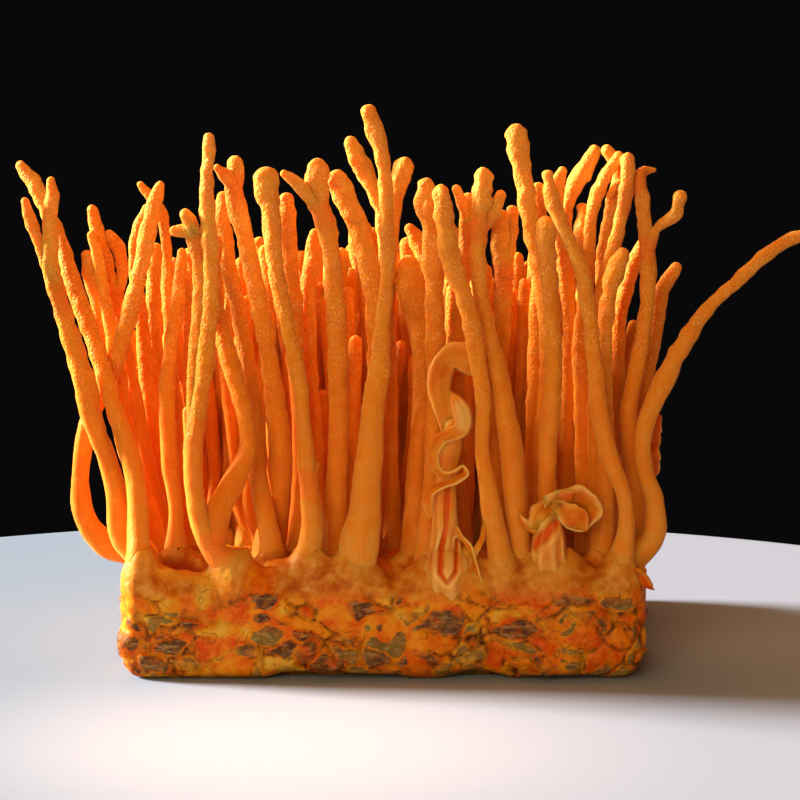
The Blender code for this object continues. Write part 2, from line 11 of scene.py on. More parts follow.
import bpy
import numpy as np
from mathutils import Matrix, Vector

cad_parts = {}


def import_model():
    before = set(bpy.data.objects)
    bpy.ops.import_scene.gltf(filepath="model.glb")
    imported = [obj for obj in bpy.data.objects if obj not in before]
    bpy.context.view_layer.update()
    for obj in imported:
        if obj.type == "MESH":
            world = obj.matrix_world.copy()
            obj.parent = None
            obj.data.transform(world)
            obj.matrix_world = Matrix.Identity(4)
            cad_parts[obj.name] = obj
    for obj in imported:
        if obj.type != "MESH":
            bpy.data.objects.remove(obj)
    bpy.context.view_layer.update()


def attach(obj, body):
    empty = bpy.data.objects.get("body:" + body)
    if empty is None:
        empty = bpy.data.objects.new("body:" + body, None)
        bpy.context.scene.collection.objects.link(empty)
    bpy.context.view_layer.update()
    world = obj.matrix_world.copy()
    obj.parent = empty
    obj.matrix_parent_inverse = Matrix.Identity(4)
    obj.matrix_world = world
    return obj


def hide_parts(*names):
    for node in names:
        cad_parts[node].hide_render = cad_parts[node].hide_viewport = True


MM = 0.001                  # one millimetre in metres

# Block
BLOCK_WIDTH = 91.0
BLOCK_DEPTH = 74.0
BLOCK_HEIGHT = 18.5
BLOCK_ROUNDING = 4.0
LUMP_HEIGHT = 0.7

# The stems' rows below are given as they line up on the block's front plane when looked at from
# this eye, and seen_at carries a row back to its own depth along the line of sight.
EYE_X = 2.9
EYE_Z = 103.8
EYE_TO_FRONT = 446.6

# Stems' centre lines
STEM_CLEARANCE = 0.5        # the least gap between two stems of different nodes
FOOT_MARGIN = 2.6           # feet stay this far inside the block's sides
SPREAD_ROUNDS = 140
SIDEWAYS_SHARE = 0.3        # stems give way mostly in depth, and this much sideways

# Fineness: vertices round a tube, and the distance between its rings
FRONT_TUBE = (28, 0.55)
STALK_TUBE = (112, 0.275)
TUFT_TUBE = (16, 0.9)
FINE_TUBE = (12, 1.3)       # the thin stems that fill a tuft
BAND_TUBE = (24, 0.35)
CAP_RINGS = 7               # rings of the rounded tip
FINE_STEMS = 12             # thin stems added to each back tuft
GOLDEN_TURN = 2.4           # angle from each thin stem's foot to the next, in radians
FINE_FOOT_MARGIN = 3.0      # thin stems' feet stay this far inside the block's sides

# Skin of the stems. Each pair is how much, as a share of the radius, and over what length.
FOOT_FLARE = (0.42, 2.6)    # wider where a foot leaves the block
FORK_FLARE = (0.35, 1.6)    # and where a branch leaves its stem
FOOT_TUCK = (0.45, 1.3)     # narrower at a foot's lowest rings, inside the block
TIP_SWELL = (0.14, 2.6)     # wider just below the tip
TIP_SWELL_DROP = 2.2
UNEVEN = (0.07, 7.0)        # slow changes
STREAKS = (0.05, 3.0)       # lengthwise streaks: noise read on an upright tube of radius
STREAK_RING = 6.0           # STREAK_RING, squeezed in height by STREAK_SQUEEZE
STREAK_SQUEEZE = 9.0
OVAL = 0.07                 # how far a section is from round, at most
LUMP_SIZES = (4.2, 2.1, 1.1)
WANDER = (0.22, 11.0)       # how far a centre line strays in mm, and over what length
WANDER_FADES = (12.0, 6.0)  # it dies out over these lengths at the foot and at the tip
FOOT_DEPTH = 1.8            # how far a stem's foot is sunk in the block's skin
FOOT_COLLAR = 0.9           # and how far above the skin it stays upright
PALE_HEM = (0.9, 3.0, 1.8)  # every foot: how pale, how high that stays, and how fast it fades
RISE_LENGTH = 70.0          # the height over which the skin goes from a foot's to a tip's
JOINT_FADE = 3.6            # how far a branch's joint shows in the skin's colour

# Block skin
COLUMNS = 760               # vertices round the block
SIDE_STEP = 0.4             # distance between the rows of its side
ARC_ROWS = 9                # rows of each rounding, and of the underside
TOP_ROWS = 45               # rows of the top, closer together near its rim
CORNER_POINTS = 12          # points that give each rounded corner of its outline
CELL_SIZE = 3.7             # mean width of a grain or of a patch of mycelium
CELL_STRETCH = (0.62, 0.62, 1.15)   # and cells are wider than high
GRAIN_SHARES = (0.16, 0.55, 0.2)    # cells that are grains: all over, low down, low at the left
DOME_HEIGHT = 0.45          # how far a cell domes out
DOME_REACH = 0.75           # and the dome's radius, in cell sizes
GRAIN_HEIGHT = 0.35         # and a grain beyond that
CREASE_DEPTH = 0.45         # how deep the crease between two cells is
WRINKLES = ((2.3, 0.35, 71), (1.0, 0.16, 72))       # size, height and seed
FOOT_WRINKLES = ((1.7, 0.3, 73), (0.9, 0.15, 74))   # the same, where the skin climbs the feet
FOOT_SWELL = 0.8            # how far the front skin stands out below a foot
FLARE_REACH = 1.5           # how fast the block's skin falls away from a foot
STALK_FLARE = 1.9           # how much further a ribboned stalk's skin reaches
FLARE_HEIGHTS = (1.4, 2.0)  # how high the skin climbs a foot, and how much higher in front
WEB_HEIGHT = 2.4            # webs of skin between the front row's feet
WEB_WIDTH = 0.6
WEB_BOW = 1.6               # how far a web bows out to the front
WEB_SPANS = (3.0, 17.0)     # feet nearer or farther than this have no web
WEB_ROW = -25.0             # feet in front of this y are the front row
HOLLOW_DEPTH = 1.6          # hollows in the top skin
LIFT = 1.3                  # how far the block's lower edge lifts off the table in places

# Ribboned stems: a stalk with bands
EDGE_ROLL = 1.1             # how much thicker a band is just inside its edges, as a share
BAND_FOLD = 0.14            # depth of the folds along a band, as a share of its half width
STALK_FOLDS = 9             # upright folds round a stalk's foot
STALK_FOLD_DEPTH = 0.06
SPLIT_DEPTH = 0.7           # how far a split's inside lies behind the skin
LIP_HEIGHT = 0.3            # how far the lip round a split stands out
# The points of a node's row that its stalk keeps; the rest of it is bands.
STALK_POINTS = {"curled_stem": (0, 1, 2, 3, 8), "ruffled_stem": (0, 1, 2), "frilled_stem": (0, 1)}
# How far each stalk's skirt stands out before its foot.
SKIRT_FORWARD = {"curled_stem": 0.9, "ruffled_stem": 0.2, "frilled_stem": 0.0}
BAND_DEPTH = {"curled_stem": 4.5, "ruffled_stem": 3.5, "frilled_stem": 14.0}
CRUMPLE = {"curled_stem": 0.3, "ruffled_stem": 0.8, "frilled_stem": 0.8}
# How red-orange a node's bands are, from 0 to 1, and the line that its pale bulb lies along.
REDDENED = {"frilled_stem": 0.75}
PALE_BULB = {"curled_stem": ((13.2, 47.6), (13.8, 44.6))}
PALE_BULB_RADIUS = 1.5
# How pale single stems' feet are, from 0 to 1, and how far up that reaches, where it is further
# than most.
# The arching stem's full and long pale foot is partly its own colour, partly a painted highlight
# on its lower bulge
FOOT_PALE = {"tallest_stem": 1.0, "curled_stem": 0.95, "ruffled_stem": 0.8,
             "side_forked_stem": 0.85, "arching_stem": 1.0, "right_split_stem": 0.9}
PALE_REACH = {"arching_stem": 34.0}

# Bands of each ribboned node, on the front plane: x, z, half width, nearness to the front, twist
# in degrees, and thickness as a share of the width.
BANDS = {
    "curled_stem": [[
        (11.0, 39.6, 1.4, 0.0, 0, 0.7), (10.9, 43.6, 1.3, 0.4, 0, 0.7),
        (10.2, 47.6, 1.6, 0.6, 0, 0.6), (9.4, 51.4, 2.0, 0.6, 0, 0.55),
        (9.7, 54.4, 2.1, 0.5, 0, 0.55), (11.7, 56.5, 2.3, 0.3, 0, 0.55),
        (14.2, 56.2, 2.8, 0.0, 0, 0.5), (16.4, 55.2, 2.7, -0.4, 0, 0.5),
        (17.8, 53.6, 1.8, -0.9, 0, 0.6),
    ], [
        (11.3, 50.6, 0.6, 1.4, 10, 0.8), (12.5, 48.7, 1.1, 2.2, 10, 0.9),
        (13.7, 46.3, 1.6, 2.6, 10, 0.9), (13.4, 44.0, 1.5, 2.9, 15, 0.7),
        (11.6, 42.9, 1.2, 3.1, 30, 0.5), (9.7, 42.2, 1.1, 3.1, 30, 0.45),
        (8.5, 40.2, 1.1, 2.9, 20, 0.4), (8.6, 37.9, 1.0, 2.8, 20, 0.4),
        (9.9, 36.4, 0.8, 3.1, 50, 0.4), (12.0, 36.5, 0.7, 3.3, 70, 0.4),
        (13.7, 37.7, 0.7, 3.1, 75, 0.4), (14.1, 36.7, 0.7, 3.1, 70, 0.4),
        (12.6, 35.2, 0.8, 3.2, 60, 0.4), (10.2, 34.3, 0.8, 3.1, 50, 0.4),
        (8.2, 33.2, 0.9, 2.7, 30, 0.4), (7.5, 31.2, 0.9, 2.3, 20, 0.4),
        (7.8, 29.4, 0.6, 2.1, 20, 0.4),
    ], [
        (12.3, 27.4, 0.4, 1.8, 40, 0.4), (13.3, 25.2, 0.7, 2.3, 50, 0.35),
        (14.6, 23.6, 0.8, 2.6, 55, 0.3), (15.5, 21.0, 0.8, 3.0, 50, 0.3),
        (16.3, 18.6, 0.6, 3.2, 45, 0.3), (16.9, 16.8, 0.4, 3.0, 45, 0.4),
    ], [
        (17.4, 28.2, 0.3, 1.6, 0, 0.8), (16.9, 25.4, 0.4, 2.0, 0, 0.8),
        (15.7, 23.0, 0.4, 2.6, 0, 0.8), (15.0, 20.4, 0.5, 2.8, 0, 0.8),
        (15.0, 17.6, 0.6, 2.8, 0, 0.8),
    ]],
    "ruffled_stem": [[
        (23.0, 30.0, 0.35, 1.0, 60, 0.4), (23.9, 28.1, 0.8, 1.4, 50, 0.35),
        (25.6, 27.2, 1.2, 2.0, 35, 0.35), (27.6, 28.6, 1.7, 2.4, 25, 0.35),
        (29.4, 30.9, 1.9, 2.4, 20, 0.35), (31.4, 32.2, 1.8, 1.8, 30, 0.3),
        (33.8, 32.3, 1.9, 1.2, 35, 0.3), (35.5, 30.8, 1.9, 1.0, 35, 0.3),
        (35.4, 28.7, 1.9, 1.2, 35, 0.3), (34.0, 27.4, 1.5, 1.8, 30, 0.3),
        (32.2, 27.6, 1.2, 2.2, 40, 0.3), (30.6, 29.0, 0.9, 2.2, 50, 0.3),
    ], [
        (28.6, 31.0, 1.3, 2.8, 15, 0.45), (30.2, 30.7, 1.7, 3.1, 5, 0.4),
        (31.8, 29.7, 1.9, 3.3, 0, 0.35), (33.2, 28.3, 1.6, 3.2, 10, 0.35),
        (34.0, 27.0, 0.9, 2.8, 25, 0.35),
    ], [
        (26.2, 27.0, 1.5, 2.2, 20, 0.6), (26.9, 29.0, 2.3, 2.4, 10, 0.6),
        (28.2, 30.8, 2.3, 2.5, 10, 0.5), (30.0, 31.9, 1.9, 2.2, 20, 0.5),
        (31.6, 32.6, 1.4, 1.9, 30, 0.5),
    ]],
    "frilled_stem": [[
        (43.4, 29.0, 1.5, 0.0, 0, 0.9), (43.9, 31.6, 1.4, 0.2, 0, 0.7),
        (44.6, 34.6, 1.3, 0.4, 0, 0.5), (45.2, 36.6, 1.4, 0.8, 0, 0.3),
        (45.6, 37.4, 1.9, 1.2, 15, 0.2), (45.6, 38.5, 1.8, 1.6, 25, 0.2),
        (45.6, 39.5, 1.6, 1.8, 0, 0.2), (45.5, 40.6, 1.2, 1.2, -20, 0.2),
        (45.6, 41.6, 1.1, 1.0, 10, 0.2), (45.7, 42.6, 1.5, 1.6, 30, 0.2),
        (45.8, 43.6, 1.1, 1.4, 0, 0.2), (46.1, 44.6, 1.2, 1.0, -15, 0.2),
        (46.6, 45.5, 0.8, 0.8, 10, 0.25), (47.1, 46.2, 0.4, 0.8, 10, 0.4),
    ]],
}
# A flap of skin at the block's right corner, as a band, and how far behind the front plane it is.
CORNER_FLAP = [
    (43.0, 18.9, 1.2, 0.0, 30, 0.4), (44.2, 18.3, 1.3, 0.6, 35, 0.35),
    (45.3, 17.3, 1.0, 0.8, 45, 0.3), (46.2, 16.4, 0.3, 0.6, 50, 0.4),
]
CORNER_FLAP_DEPTH = 2.5
# Splits in the stalks' front skin, each a line on the front plane, and its half width.
SPLITS = {
    "curled_stem": [
        ((11.0, 33.6), (10.8, 26.5), 0.65), ((10.8, 26.5), (9.9, 22.8), 0.6),
        ((9.9, 22.8), (9.7, 19.2), 0.6), ((9.7, 19.2), (10.9, 17.6), 0.55),
        ((10.9, 17.6), (12.3, 19.4), 0.5), ((12.3, 19.4), (12.7, 24.2), 0.45),
    ],
    "ruffled_stem": [((25.6, 23.6), (29.3, 27.8), 1.0), ((31.2, 26.0), (31.4, 22.5), 0.4)],
    "frilled_stem": [],
}

# Stage
FLOOR_RADIUS = 170.0
FLOOR_CENTRE = (-6.0, -39.0)
FLOOR_EDGE = 3.0            # rounding of the table top's edge
FLOOR_THICKNESS = 20.0
FLOOR_PAINTED_SHADE_SPAN = (-90.0, 70.0)        # the x between which its painted shade turns from the left's to the right's
FLOOR_PAINTED_LIGHT_CENTRE = (-15.0, -80.0)       # where its painted pool of light is palest,
FLOOR_PAINTED_LIGHT_REACH = (5.0, 75.0)      # and from how near to how far off that fades
LAMP_TARGET = (0.0, 0.0, 0.045)     # metres
LENS = 119.1
SENSOR = 36.0
CAMERA_TILT = 7.0           # degrees below level


# node, (foot's depth, tip's depth) behind the front plane, then x, height and radius from foot to
# tip, with a fourth number where the stem curls out of its plane. A foot's height is the block's.
ROWS = [
    ("loop_stem", (17, 9), [(-43.6, 0, 2.4), (-47.2, 24.2, 2.2), (-50.6, 28.2, 1.8),
        (-51.7, 34, 1.6), (-51.1, 40, 1.5), (-49.7, 46, 1.5), (-47.3, 53, 1.5), (-44.9, 59, 1.4),
        (-40.4, 73, 1.3), (-38.9, 79.5, 1.2), (-37.5, 85.3, 0.8)]),
    ("left_forked_stem", (12, 4), [(-43.4, 0, 2.2), (-44.6, 25, 2.1), (-45.6, 33, 1.9),
        (-46.7, 39, 1.7), (-48.6, 45, 1.8), (-50.4, 51.5, 1.9), (-54.3, 64, 1.5), (-55.9, 70, 1.4),
        (-56.3, 77, 1.2), (-55.7, 84, 1), (-55.8, 86.2, 0.6)]),
    ("left_forked_stem", (9, 7), [(-54.9, 66, 1), (-56.9, 72, 0.9), (-58.4, 76.8, 0.9),
        (-59.7, 80.5, 0.85), (-60.4, 83, 0.6)]),
    ("left_outer_stem", (4, 20), [(-41.8, 0, 2.2), (-41.8, 26, 1.9), (-42.4, 34, 1.8),
        (-46.2, 50, 1.6), (-51, 67, 1.5), (-56.2, 80.5, 1.2), (-58.6, 85.4, 1.2),
        (-60.8, 88.6, 0.9)]),
    ("fan_stem_1", (26, 22), [(-37.6, 0, 1.8), (-40.5, 36, 1.5), (-43.4, 52, 1.4), (-45, 64, 1.3),
        (-46.7, 72, 1.3), (-48.2, 78, 1.1), (-49, 81.3, 0.8)]),
    ("fan_stem_1", (26, 26), [(-45.3, 66, 1), (-44, 72, 1), (-45, 75.6, 1), (-46.2, 77.3, 0.8)]),
    ("fan_stem_2", (20, 14), [(-39.6, 0, 1.8), (-43, 40, 1.4), (-45.4, 56, 1.2), (-46.8, 66, 1),
        (-48.2, 73.5, 0.9), (-49.1, 77, 0.7)]),
    ("fan_stem_3", (32, 16), [(-39.4, 0, 1.8), (-43.2, 42, 1.4), (-46.6, 58, 1.2),
        (-48.3, 66, 1.2), (-49.4, 70.5, 1.2), (-50, 73.6, 0.8)]),
    ("fan_stem_4", (30, 30), [(-35.6, 0, 1.8), (-38, 36, 1.4), (-40, 52, 1.3), (-41, 64, 1.1),
        (-41.9, 73, 0.95), (-41.4, 77.5, 0.95), (-39.9, 81.6, 0.6)]),
    ("crossed_tip_stem", (24, 16), [(-33.8, 0, 1.7), (-35, 40, 1.4), (-35.8, 56, 1.2),
        (-36.2, 68, 1.1), (-36.7, 76, 1), (-37.9, 81.7, 1), (-39.6, 84.1, 0.8),
        (-40.8, 85.4, 0.6)]),
    ("short_stem_1", (38, 34), [(-34, 0, 1.7), (-37.6, 44, 1.4), (-39, 60, 1.3), (-38.8, 69, 1.1),
        (-38.2, 74.8, 0.8)]),
    ("short_stem_2", (14, 14), [(-35.4, 0, 1.9), (-35.4, 28, 1.3), (-36.4, 38, 1.4),
        (-36.6, 50, 1.3), (-35.6, 60, 1.2), (-34.2, 69, 1.1), (-33.9, 74, 0.8)]),
    ("tall_left_stem", (3, -4), [(-26, 0, 2.8), (-28.6, 22.5, 2.1), (-31.2, 28, 1.9),
        (-32.4, 35, 1.7), (-32, 44, 1.75), (-30.8, 52, 1.7), (-29.6, 61, 1.5), (-29.2, 70, 1.5),
        (-29.6, 79, 1.4), (-29.6, 86, 1.3), (-29.2, 93.2, 0.9)]),
    ("tall_left_stem", (6, 4), [(-32.2, 45, 1.1), (-32.3, 56, 1.1), (-31.4, 66, 1.1),
        (-31.3, 74, 1.3), (-33, 78.4, 1.2), (-35.2, 78.5, 0.9)]),
    ("tall_left_stem", (6, 5), [(-31.8, 75, 0.9), (-32.1, 78.6, 1), (-33.4, 81, 0.9)]),
    ("tall_left_stem", (6, 9), [(-27.8, 25, 1.6), (-26.2, 32.3, 2.1), (-23.4, 37.5, 1.9),
        (-21.6, 42, 1.6), (-22.2, 48, 1.6), (-24.6, 56, 1.6), (-26.6, 64, 1.5), (-27.2, 72, 1.3),
        (-26.6, 77, 0.9)]),
    ("leaning_stem_1", (12, 14), [(-18.8, 0, 1.9), (-20.6, 36, 1.5), (-21.6, 48, 1.4),
        (-23.6, 59, 1.4), (-25.4, 69, 1.4), (-26.8, 78, 1.3), (-26.9, 83.4, 0.9)]),
    ("lobed_stem", (15, 6), [(-19.6, 0, 2.6), (-18.6, 31, 2.2), (-17.9, 42, 2), (-18.9, 52, 1.6),
        (-20.2, 62, 1.5), (-22.2, 71.5, 1.5), (-23.9, 79.5, 1.5), (-24.9, 85, 1.4),
        (-24.7, 89.2, 1.1)]),
    ("lobed_stem", (8, 4), [(-25, 85.5, 0.9), (-26.4, 87.3, 0.9), (-27.9, 88.6, 0.6)]),
    ("broad_tip_stem", (5, 0), [(-12.8, 0, 2.3), (-12.1, 27, 1.9), (-12.8, 36, 1.6),
        (-13.4, 44, 1.3), (-14.4, 54, 1.3), (-16.4, 63, 1.35), (-18, 72, 1.4), (-18.9, 80, 1.5),
        (-19.6, 86.6, 1.8)]),
    ("broad_tip_stem", (5, 5), [(-12.6, 35, 0.9), (-11.4, 38, 0.7)]),
    ("inner_stem_1", (19, 12), [(-14.4, 0, 1.9), (-14, 40, 1.5), (-14.6, 56, 1.4),
        (-15.5, 70, 1.4), (-16, 78, 1.4), (-16.2, 83, 1.1)]),
    ("antler_stem", (12, 4), [(-8.7, 0, 2), (-8, 32, 1.8), (-7.5, 44, 1.6), (-7.8, 57, 1.6),
        (-8.3, 69, 1.5), (-9.2, 77, 1.5), (-10.8, 82.5, 1.7), (-11, 88.2, 1.6)]),
    ("antler_stem", (5, 2), [(-10.4, 80.5, 1), (-12.8, 83.8, 1.1), (-14.8, 86, 0.9),
        (-16.8, 87.3, 0.6)]),
    ("inner_stem_2", (24, 16), [(-11.6, 0, 1.8), (-11.4, 40, 1.5), (-12.6, 58, 1.4),
        (-12.5, 68, 1.4), (-11.6, 74.5, 1.3), (-11.3, 77.2, 0.9)]),
    ("stout_stem", (17, 8), [(-2.2, 0, 2.2), (-2, 38, 1.8), (-1, 54, 1.6), (-1.6, 66, 1.6),
        (-3.2, 75, 1.7), (-5.6, 81.6, 1.8), (-7.6, 86.2, 1.7)]),
    ("forked_behind_tallest", (20, 14), [(1.6, 0, 1.9), (1.2, 40, 1.4), (0.8, 60, 1.4),
        (0.4, 75, 1.3), (-0.8, 83.2, 1.2), (-3.2, 88, 1.5), (-5.3, 92.2, 1.4)]),
    ("forked_behind_tallest", (17, 12), [(0.8, 64, 1.2), (1.8, 76, 1.2), (2.4, 83, 1.2),
        (3.7, 88.6, 1.5)]),
    ("tallest_stem", (4, -5), [(-4.7, 0, 3), (-4.2, 23, 3.2), (-3.2, 30, 2.9), (-2.3, 38.5, 2.2),
        (-1.5, 47, 1.9), (-0.5, 56, 1.6), (0.3, 65, 1.25), (0.9, 75, 1.15), (0.5, 84, 1.15),
        (-0.1, 90.5, 1.25), (-1.3, 94.6, 1.45), (-2.5, 97.6, 1.2)]),
    ("dome_stem", (12, 16), [(5.4, 0, 2), (5.6, 36, 1.7), (6.8, 52, 1.6), (6.2, 62, 1.9),
        (4.5, 69.5, 2.2), (4.1, 71.6, 1.8)]),
    ("arch_tip_stem", (18, 22), [(8.2, 0, 1.8), (8, 44, 1.4), (7.4, 64, 1.3), (6.8, 73.5, 1.3),
        (5.5, 76.8, 1.2), (4.6, 78, 0.9)]),
    ("short_club_stem", (9, 3), [(7.6, 0, 1.9), (8.6, 36, 1.5), (9, 54, 1.6), (8.6, 68, 1.6),
        (8.2, 77, 1.5), (7.2, 83, 1.7), (7.4, 85.2, 1.4)]),
    ("front_bowed_stem", (4, -3), [(20.9, 0, 2), (19.6, 26, 1.8), (18.2, 33, 1.6), (16.9, 40, 1.2),
        (17.1, 49, 1.3), (15.7, 58, 1.5), (14.3, 65, 1.5), (12, 71.6, 1.6), (10.7, 78.5, 1.6),
        (9.9, 84, 1.5)]),
    ("paired_tip_stem", (16, 14), [(13.4, 0, 1.8), (12.2, 42, 1.4), (12.6, 60, 1.4),
        (13.6, 72, 1.2), (14, 79, 1.1), (14.4, 83.2, 0.9)]),
    ("paired_tip_stem", (15, 12), [(13.9, 77, 0.8), (13.6, 82, 0.8), (12.4, 84.8, 0.7)]),
    ("front_broad_stem", (5, 2), [(24, 0, 1.9), (23, 27, 1.9), (22.3, 36, 2.1), (21.1, 45, 2),
        (17.4, 63, 1.5), (16.2, 72, 1.4), (16.5, 80, 1.5), (16.8, 86.6, 1.7)]),
    ("front_broad_stem", (4, 5), [(17, 78.5, 1), (19, 80.8, 1.1), (20.4, 83.7, 0.9)]),
    ("inner_stem_3", (14, 12), [(20, 0, 1.8), (19.4, 42, 1.5), (19.8, 58, 1.5), (20.4, 70, 1.5),
        (19.9, 77, 1.5), (20.1, 80, 1.2)]),
    ("inner_stem_3", (15, 16), [(20.4, 70, 1.1), (21.4, 77, 1.1), (21.8, 81.2, 1)]),
    ("high_club_stem", (15, 4), [(27.2, 0, 2.1), (27, 40, 1.7), (28, 54, 1.4), (27.4, 65, 1.3),
        (25.7, 74, 1.3), (24.3, 81.4, 1.4), (23.3, 87.4, 1.6), (22.4, 93.8, 1.8)]),
    ("hooked_side_stem", (8, -1), [(28.4, 0, 2.1), (28.1, 30, 1.7), (28.2, 42, 1.6),
        (28.9, 53, 1.5), (28, 72, 1.6), (27.6, 78.6, 1.6)]),
    ("inner_stem_4", (22, 14), [(25.8, 0, 1.8), (25.6, 44, 1.4), (26.2, 62, 1.3), (26.6, 76, 1.2),
        (26.2, 84.8, 1)]),
    ("long_bowed_stem", (4, -3), [(40.6, 0, 2), (41.5, 26.5, 1.4), (41.1, 32.2, 1.3),
        (38.9, 38.2, 1.5), (37.2, 45, 1.5), (35.1, 62.5, 1.25), (33.8, 70.5, 1.25), (31, 77, 1.15),
        (28.7, 82.6, 1.2), (27.7, 87, 0.9)]),
    ("inner_stem_5", (20, 12), [(31.4, 0, 1.8), (31.2, 44, 1.4), (31.6, 62, 1.3), (30.4, 74, 1.1),
        (29.4, 82, 1), (29.6, 86.2, 0.9), (30.2, 87.8, 0.7)]),
    ("leaf_tip_stem", (24, 16), [(33.6, 0, 1.9), (33, 44, 1.4), (32, 62, 1.3), (31.2, 74, 1.1),
        (31.2, 82, 1), (32.6, 85.6, 1.4), (34.2, 88.4, 1.4), (35.6, 91.2, 0.9)]),
    ("fork_stem_1", (18, 7), [(35, 0, 1.9), (34, 42, 1.5), (33.8, 58, 1.4), (34.6, 71, 1.2),
        (35.2, 80, 1.2), (37, 85.3, 1.1), (39.6, 90.2, 0.9)]),
    ("fork_stem_1", (12, 14), [(34.6, 71, 0.9), (33.4, 77, 1.1), (33.6, 81.8, 0.9)]),
    ("pale_tip_stem", (28, 10), [(36, 0, 1.8), (37, 48, 1.4), (37.2, 64, 1.3), (37.2, 75, 1.1),
        (38.5, 83, 1.1), (39.8, 88.6, 1.1), (37.7, 91.2, 1)]),
    ("fork_stem_2", (14, 5), [(37.4, 0, 1.9), (36.4, 42, 1.5), (36.6, 58, 1.4), (37.8, 71, 1.3),
        (39.6, 78, 1.2), (41, 83.5, 1.2), (41.4, 89.6, 1.2)]),
    ("fork_stem_2", (8, 11), [(40.6, 83.5, 0.8), (39.2, 85.8, 0.8), (37.3, 84.2, 0.8)]),
    ("side_forked_stem", (12, 6), [(41.6, 0, 2.2), (43.4, 28, 1.7), (42.6, 38, 1.6),
        (41.8, 46, 1.5), (43.4, 56, 1.4), (44.6, 65, 1.3), (44.9, 73, 1.25), (44, 81, 1.2),
        (42.7, 87, 1)]),
    ("side_forked_stem", (8, 3), [(44.9, 75, 1), (46.6, 78.4, 1), (49.3, 80.4, 1),
        (50.3, 83.4, 1.3)]),
    ("side_forked_stem", (7, 9), [(43, 86.6, 0.8), (44.4, 88, 0.7), (45.7, 88.1, 0.45)]),
    ("right_split_stem", (22, 20), [(38.6, 0, 1.9), (38.8, 44, 1.4), (39.8, 56, 1.3),
        (40.2, 64, 1.3), (42.2, 71.6, 1.2), (43.6, 75.6, 0.9)]),
    ("right_club_stem", (10, 2), [(38.2, 0, 2), (38, 40, 1.5), (37.6, 54, 1.4), (37.9, 64, 1.4),
        (39.2, 71, 1.5), (40.4, 73.6, 1.2)]),
    ("right_tip_stem", (26, 14), [(39.6, 0, 1.9), (43, 40, 1.4), (45, 54, 1.2), (46.6, 63, 1.2),
        (47.4, 68, 1.1), (49.5, 71.4, 1)]),
    ("arching_stem", (10, 2), [(42.4, 0, 2.4), (45.6, 25, 2), (46.2, 31, 1.7), (44.5, 37, 1.4),
        (44.6, 44, 1.5), (47.8, 52, 1.7), (51.4, 59.2, 1.5), (55.2, 64.9, 1.2), (60.2, 69.6, 1.15),
        (65.4, 74.1, 1.15), (69.2, 76.5, 0.95), (72.6, 77.2, 0.6)]),
    ("curled_stem", (6, 4), [(10.6, 0, 4), (10.5, 23, 3), (10.4, 28, 2.3), (10.6, 33, 2),
        (13, 36.2, 1.4, -1.5), (12.6, 39.4, 1.3, 1.8), (9.6, 40.4, 1.4, 0.8),
        (9.5, 42.8, 1.3, -1.2), (12.2, 44.6, 1.5, -1.5), (13.8, 46.6, 1.5, 0),
        (12.2, 49, 1.5, 0.5), (9.6, 50.8, 1.5, 0), (8.9, 53.8, 1.5, 0), (10.4, 56.6, 1.5, 0),
        (13, 57.2, 1.4, 0.5), (14.6, 55.4, 1, 1.5)]),
    ("ruffled_stem", (5, 1), [(28.4, 0, 3.2), (28.2, 23, 2.8), (28.6, 27.4, 1.8),
        (30.6, 30.4, 1.6), (33.2, 32, 1.6, 0.5), (35.8, 31.4, 1.5, 0.5), (36.2, 29, 1.3, -0.5),
        (34.6, 27.4, 1.1, -1.5)]),
    ("ruffled_stem", (3, 1), [(28.8, 28.4, 1.2), (26.4, 28.2, 1.2), (24.6, 27.8, 1),
        (23.6, 29.3, 0.6)]),
    ("frilled_stem", (18, 12), [(38.6, 0, 1.8), (43.4, 30, 1.5), (45.6, 38, 1.7), (46.5, 42, 1.5),
        (46.9, 45, 0.9)]),
]

# Stems at the back grow in tufts of four from one foot: x, depth, height of the middle stem.
TUFTS = [
    (-31.0, 39.0, 71.0), (-17.0, 33.0, 74.0), (-3.0, 36.0, 76.0), (12.0, 33.0, 75.0),
    (29.0, 36.0, 73.0), (-35.0, 53.0, 68.0), (-20.0, 50.0, 72.0), (-4.0, 51.0, 74.0),
    (11.0, 49.0, 73.0), (25.0, 51.0, 71.0), (-28.0, 65.0, 66.0), (-11.0, 66.0, 70.0),
    (5.0, 66.0, 71.0), (21.0, 65.0, 68.0), (37.0, 59.0, 67.0),
]
TUFT_SIDES = ((0.0, 5.0), (2.2, 9.0), (4.1, 2.5))   # a side stem's turn, and its drop
TUFT_SPLAY = 5.6            # how far a side stem leans away from the middle one at its tip
TUFT_FAN = 0.13             # outward lean of a tuft for each millimetre it stands off the centre
TUFT_BOW = 1.9              # how far the middle of a tuft's stem bends off the straight line


# ---- centre lines, as the frame's


def block_lumps(x, y, z):
    """Low swells of the grain block: three crossed sines of 15 to 30 mm, in millimetres."""
    swell = np.sin(x / 4.3 + 1.7 * np.sin(y / 6.1)) * np.cos(y / 5.2 + z / 7.0)
    ripple = 0.6 * np.sin(x / 2.9 - y / 3.7 + z / 2.6)
    return LUMP_HEIGHT * (swell + ripple + 0.5 * np.cos(x / 7.7 + y / 9.1))


def block_top(x, y):
    """Height of the block's upper skin at a point."""
    return BLOCK_HEIGHT + block_lumps(x, y, BLOCK_HEIGHT)


def seen_at(x, z, radius, depth):
    """A point read on the front plane, carried back along the line of sight to its depth."""
    scale = (EYE_TO_FRONT + depth) / EYE_TO_FRONT
    return (
        EYE_X + (x - EYE_X) * scale,
        -BLOCK_DEPTH / 2 + depth,
        EYE_Z + (z - EYE_Z) * scale,
        radius * scale,
    )


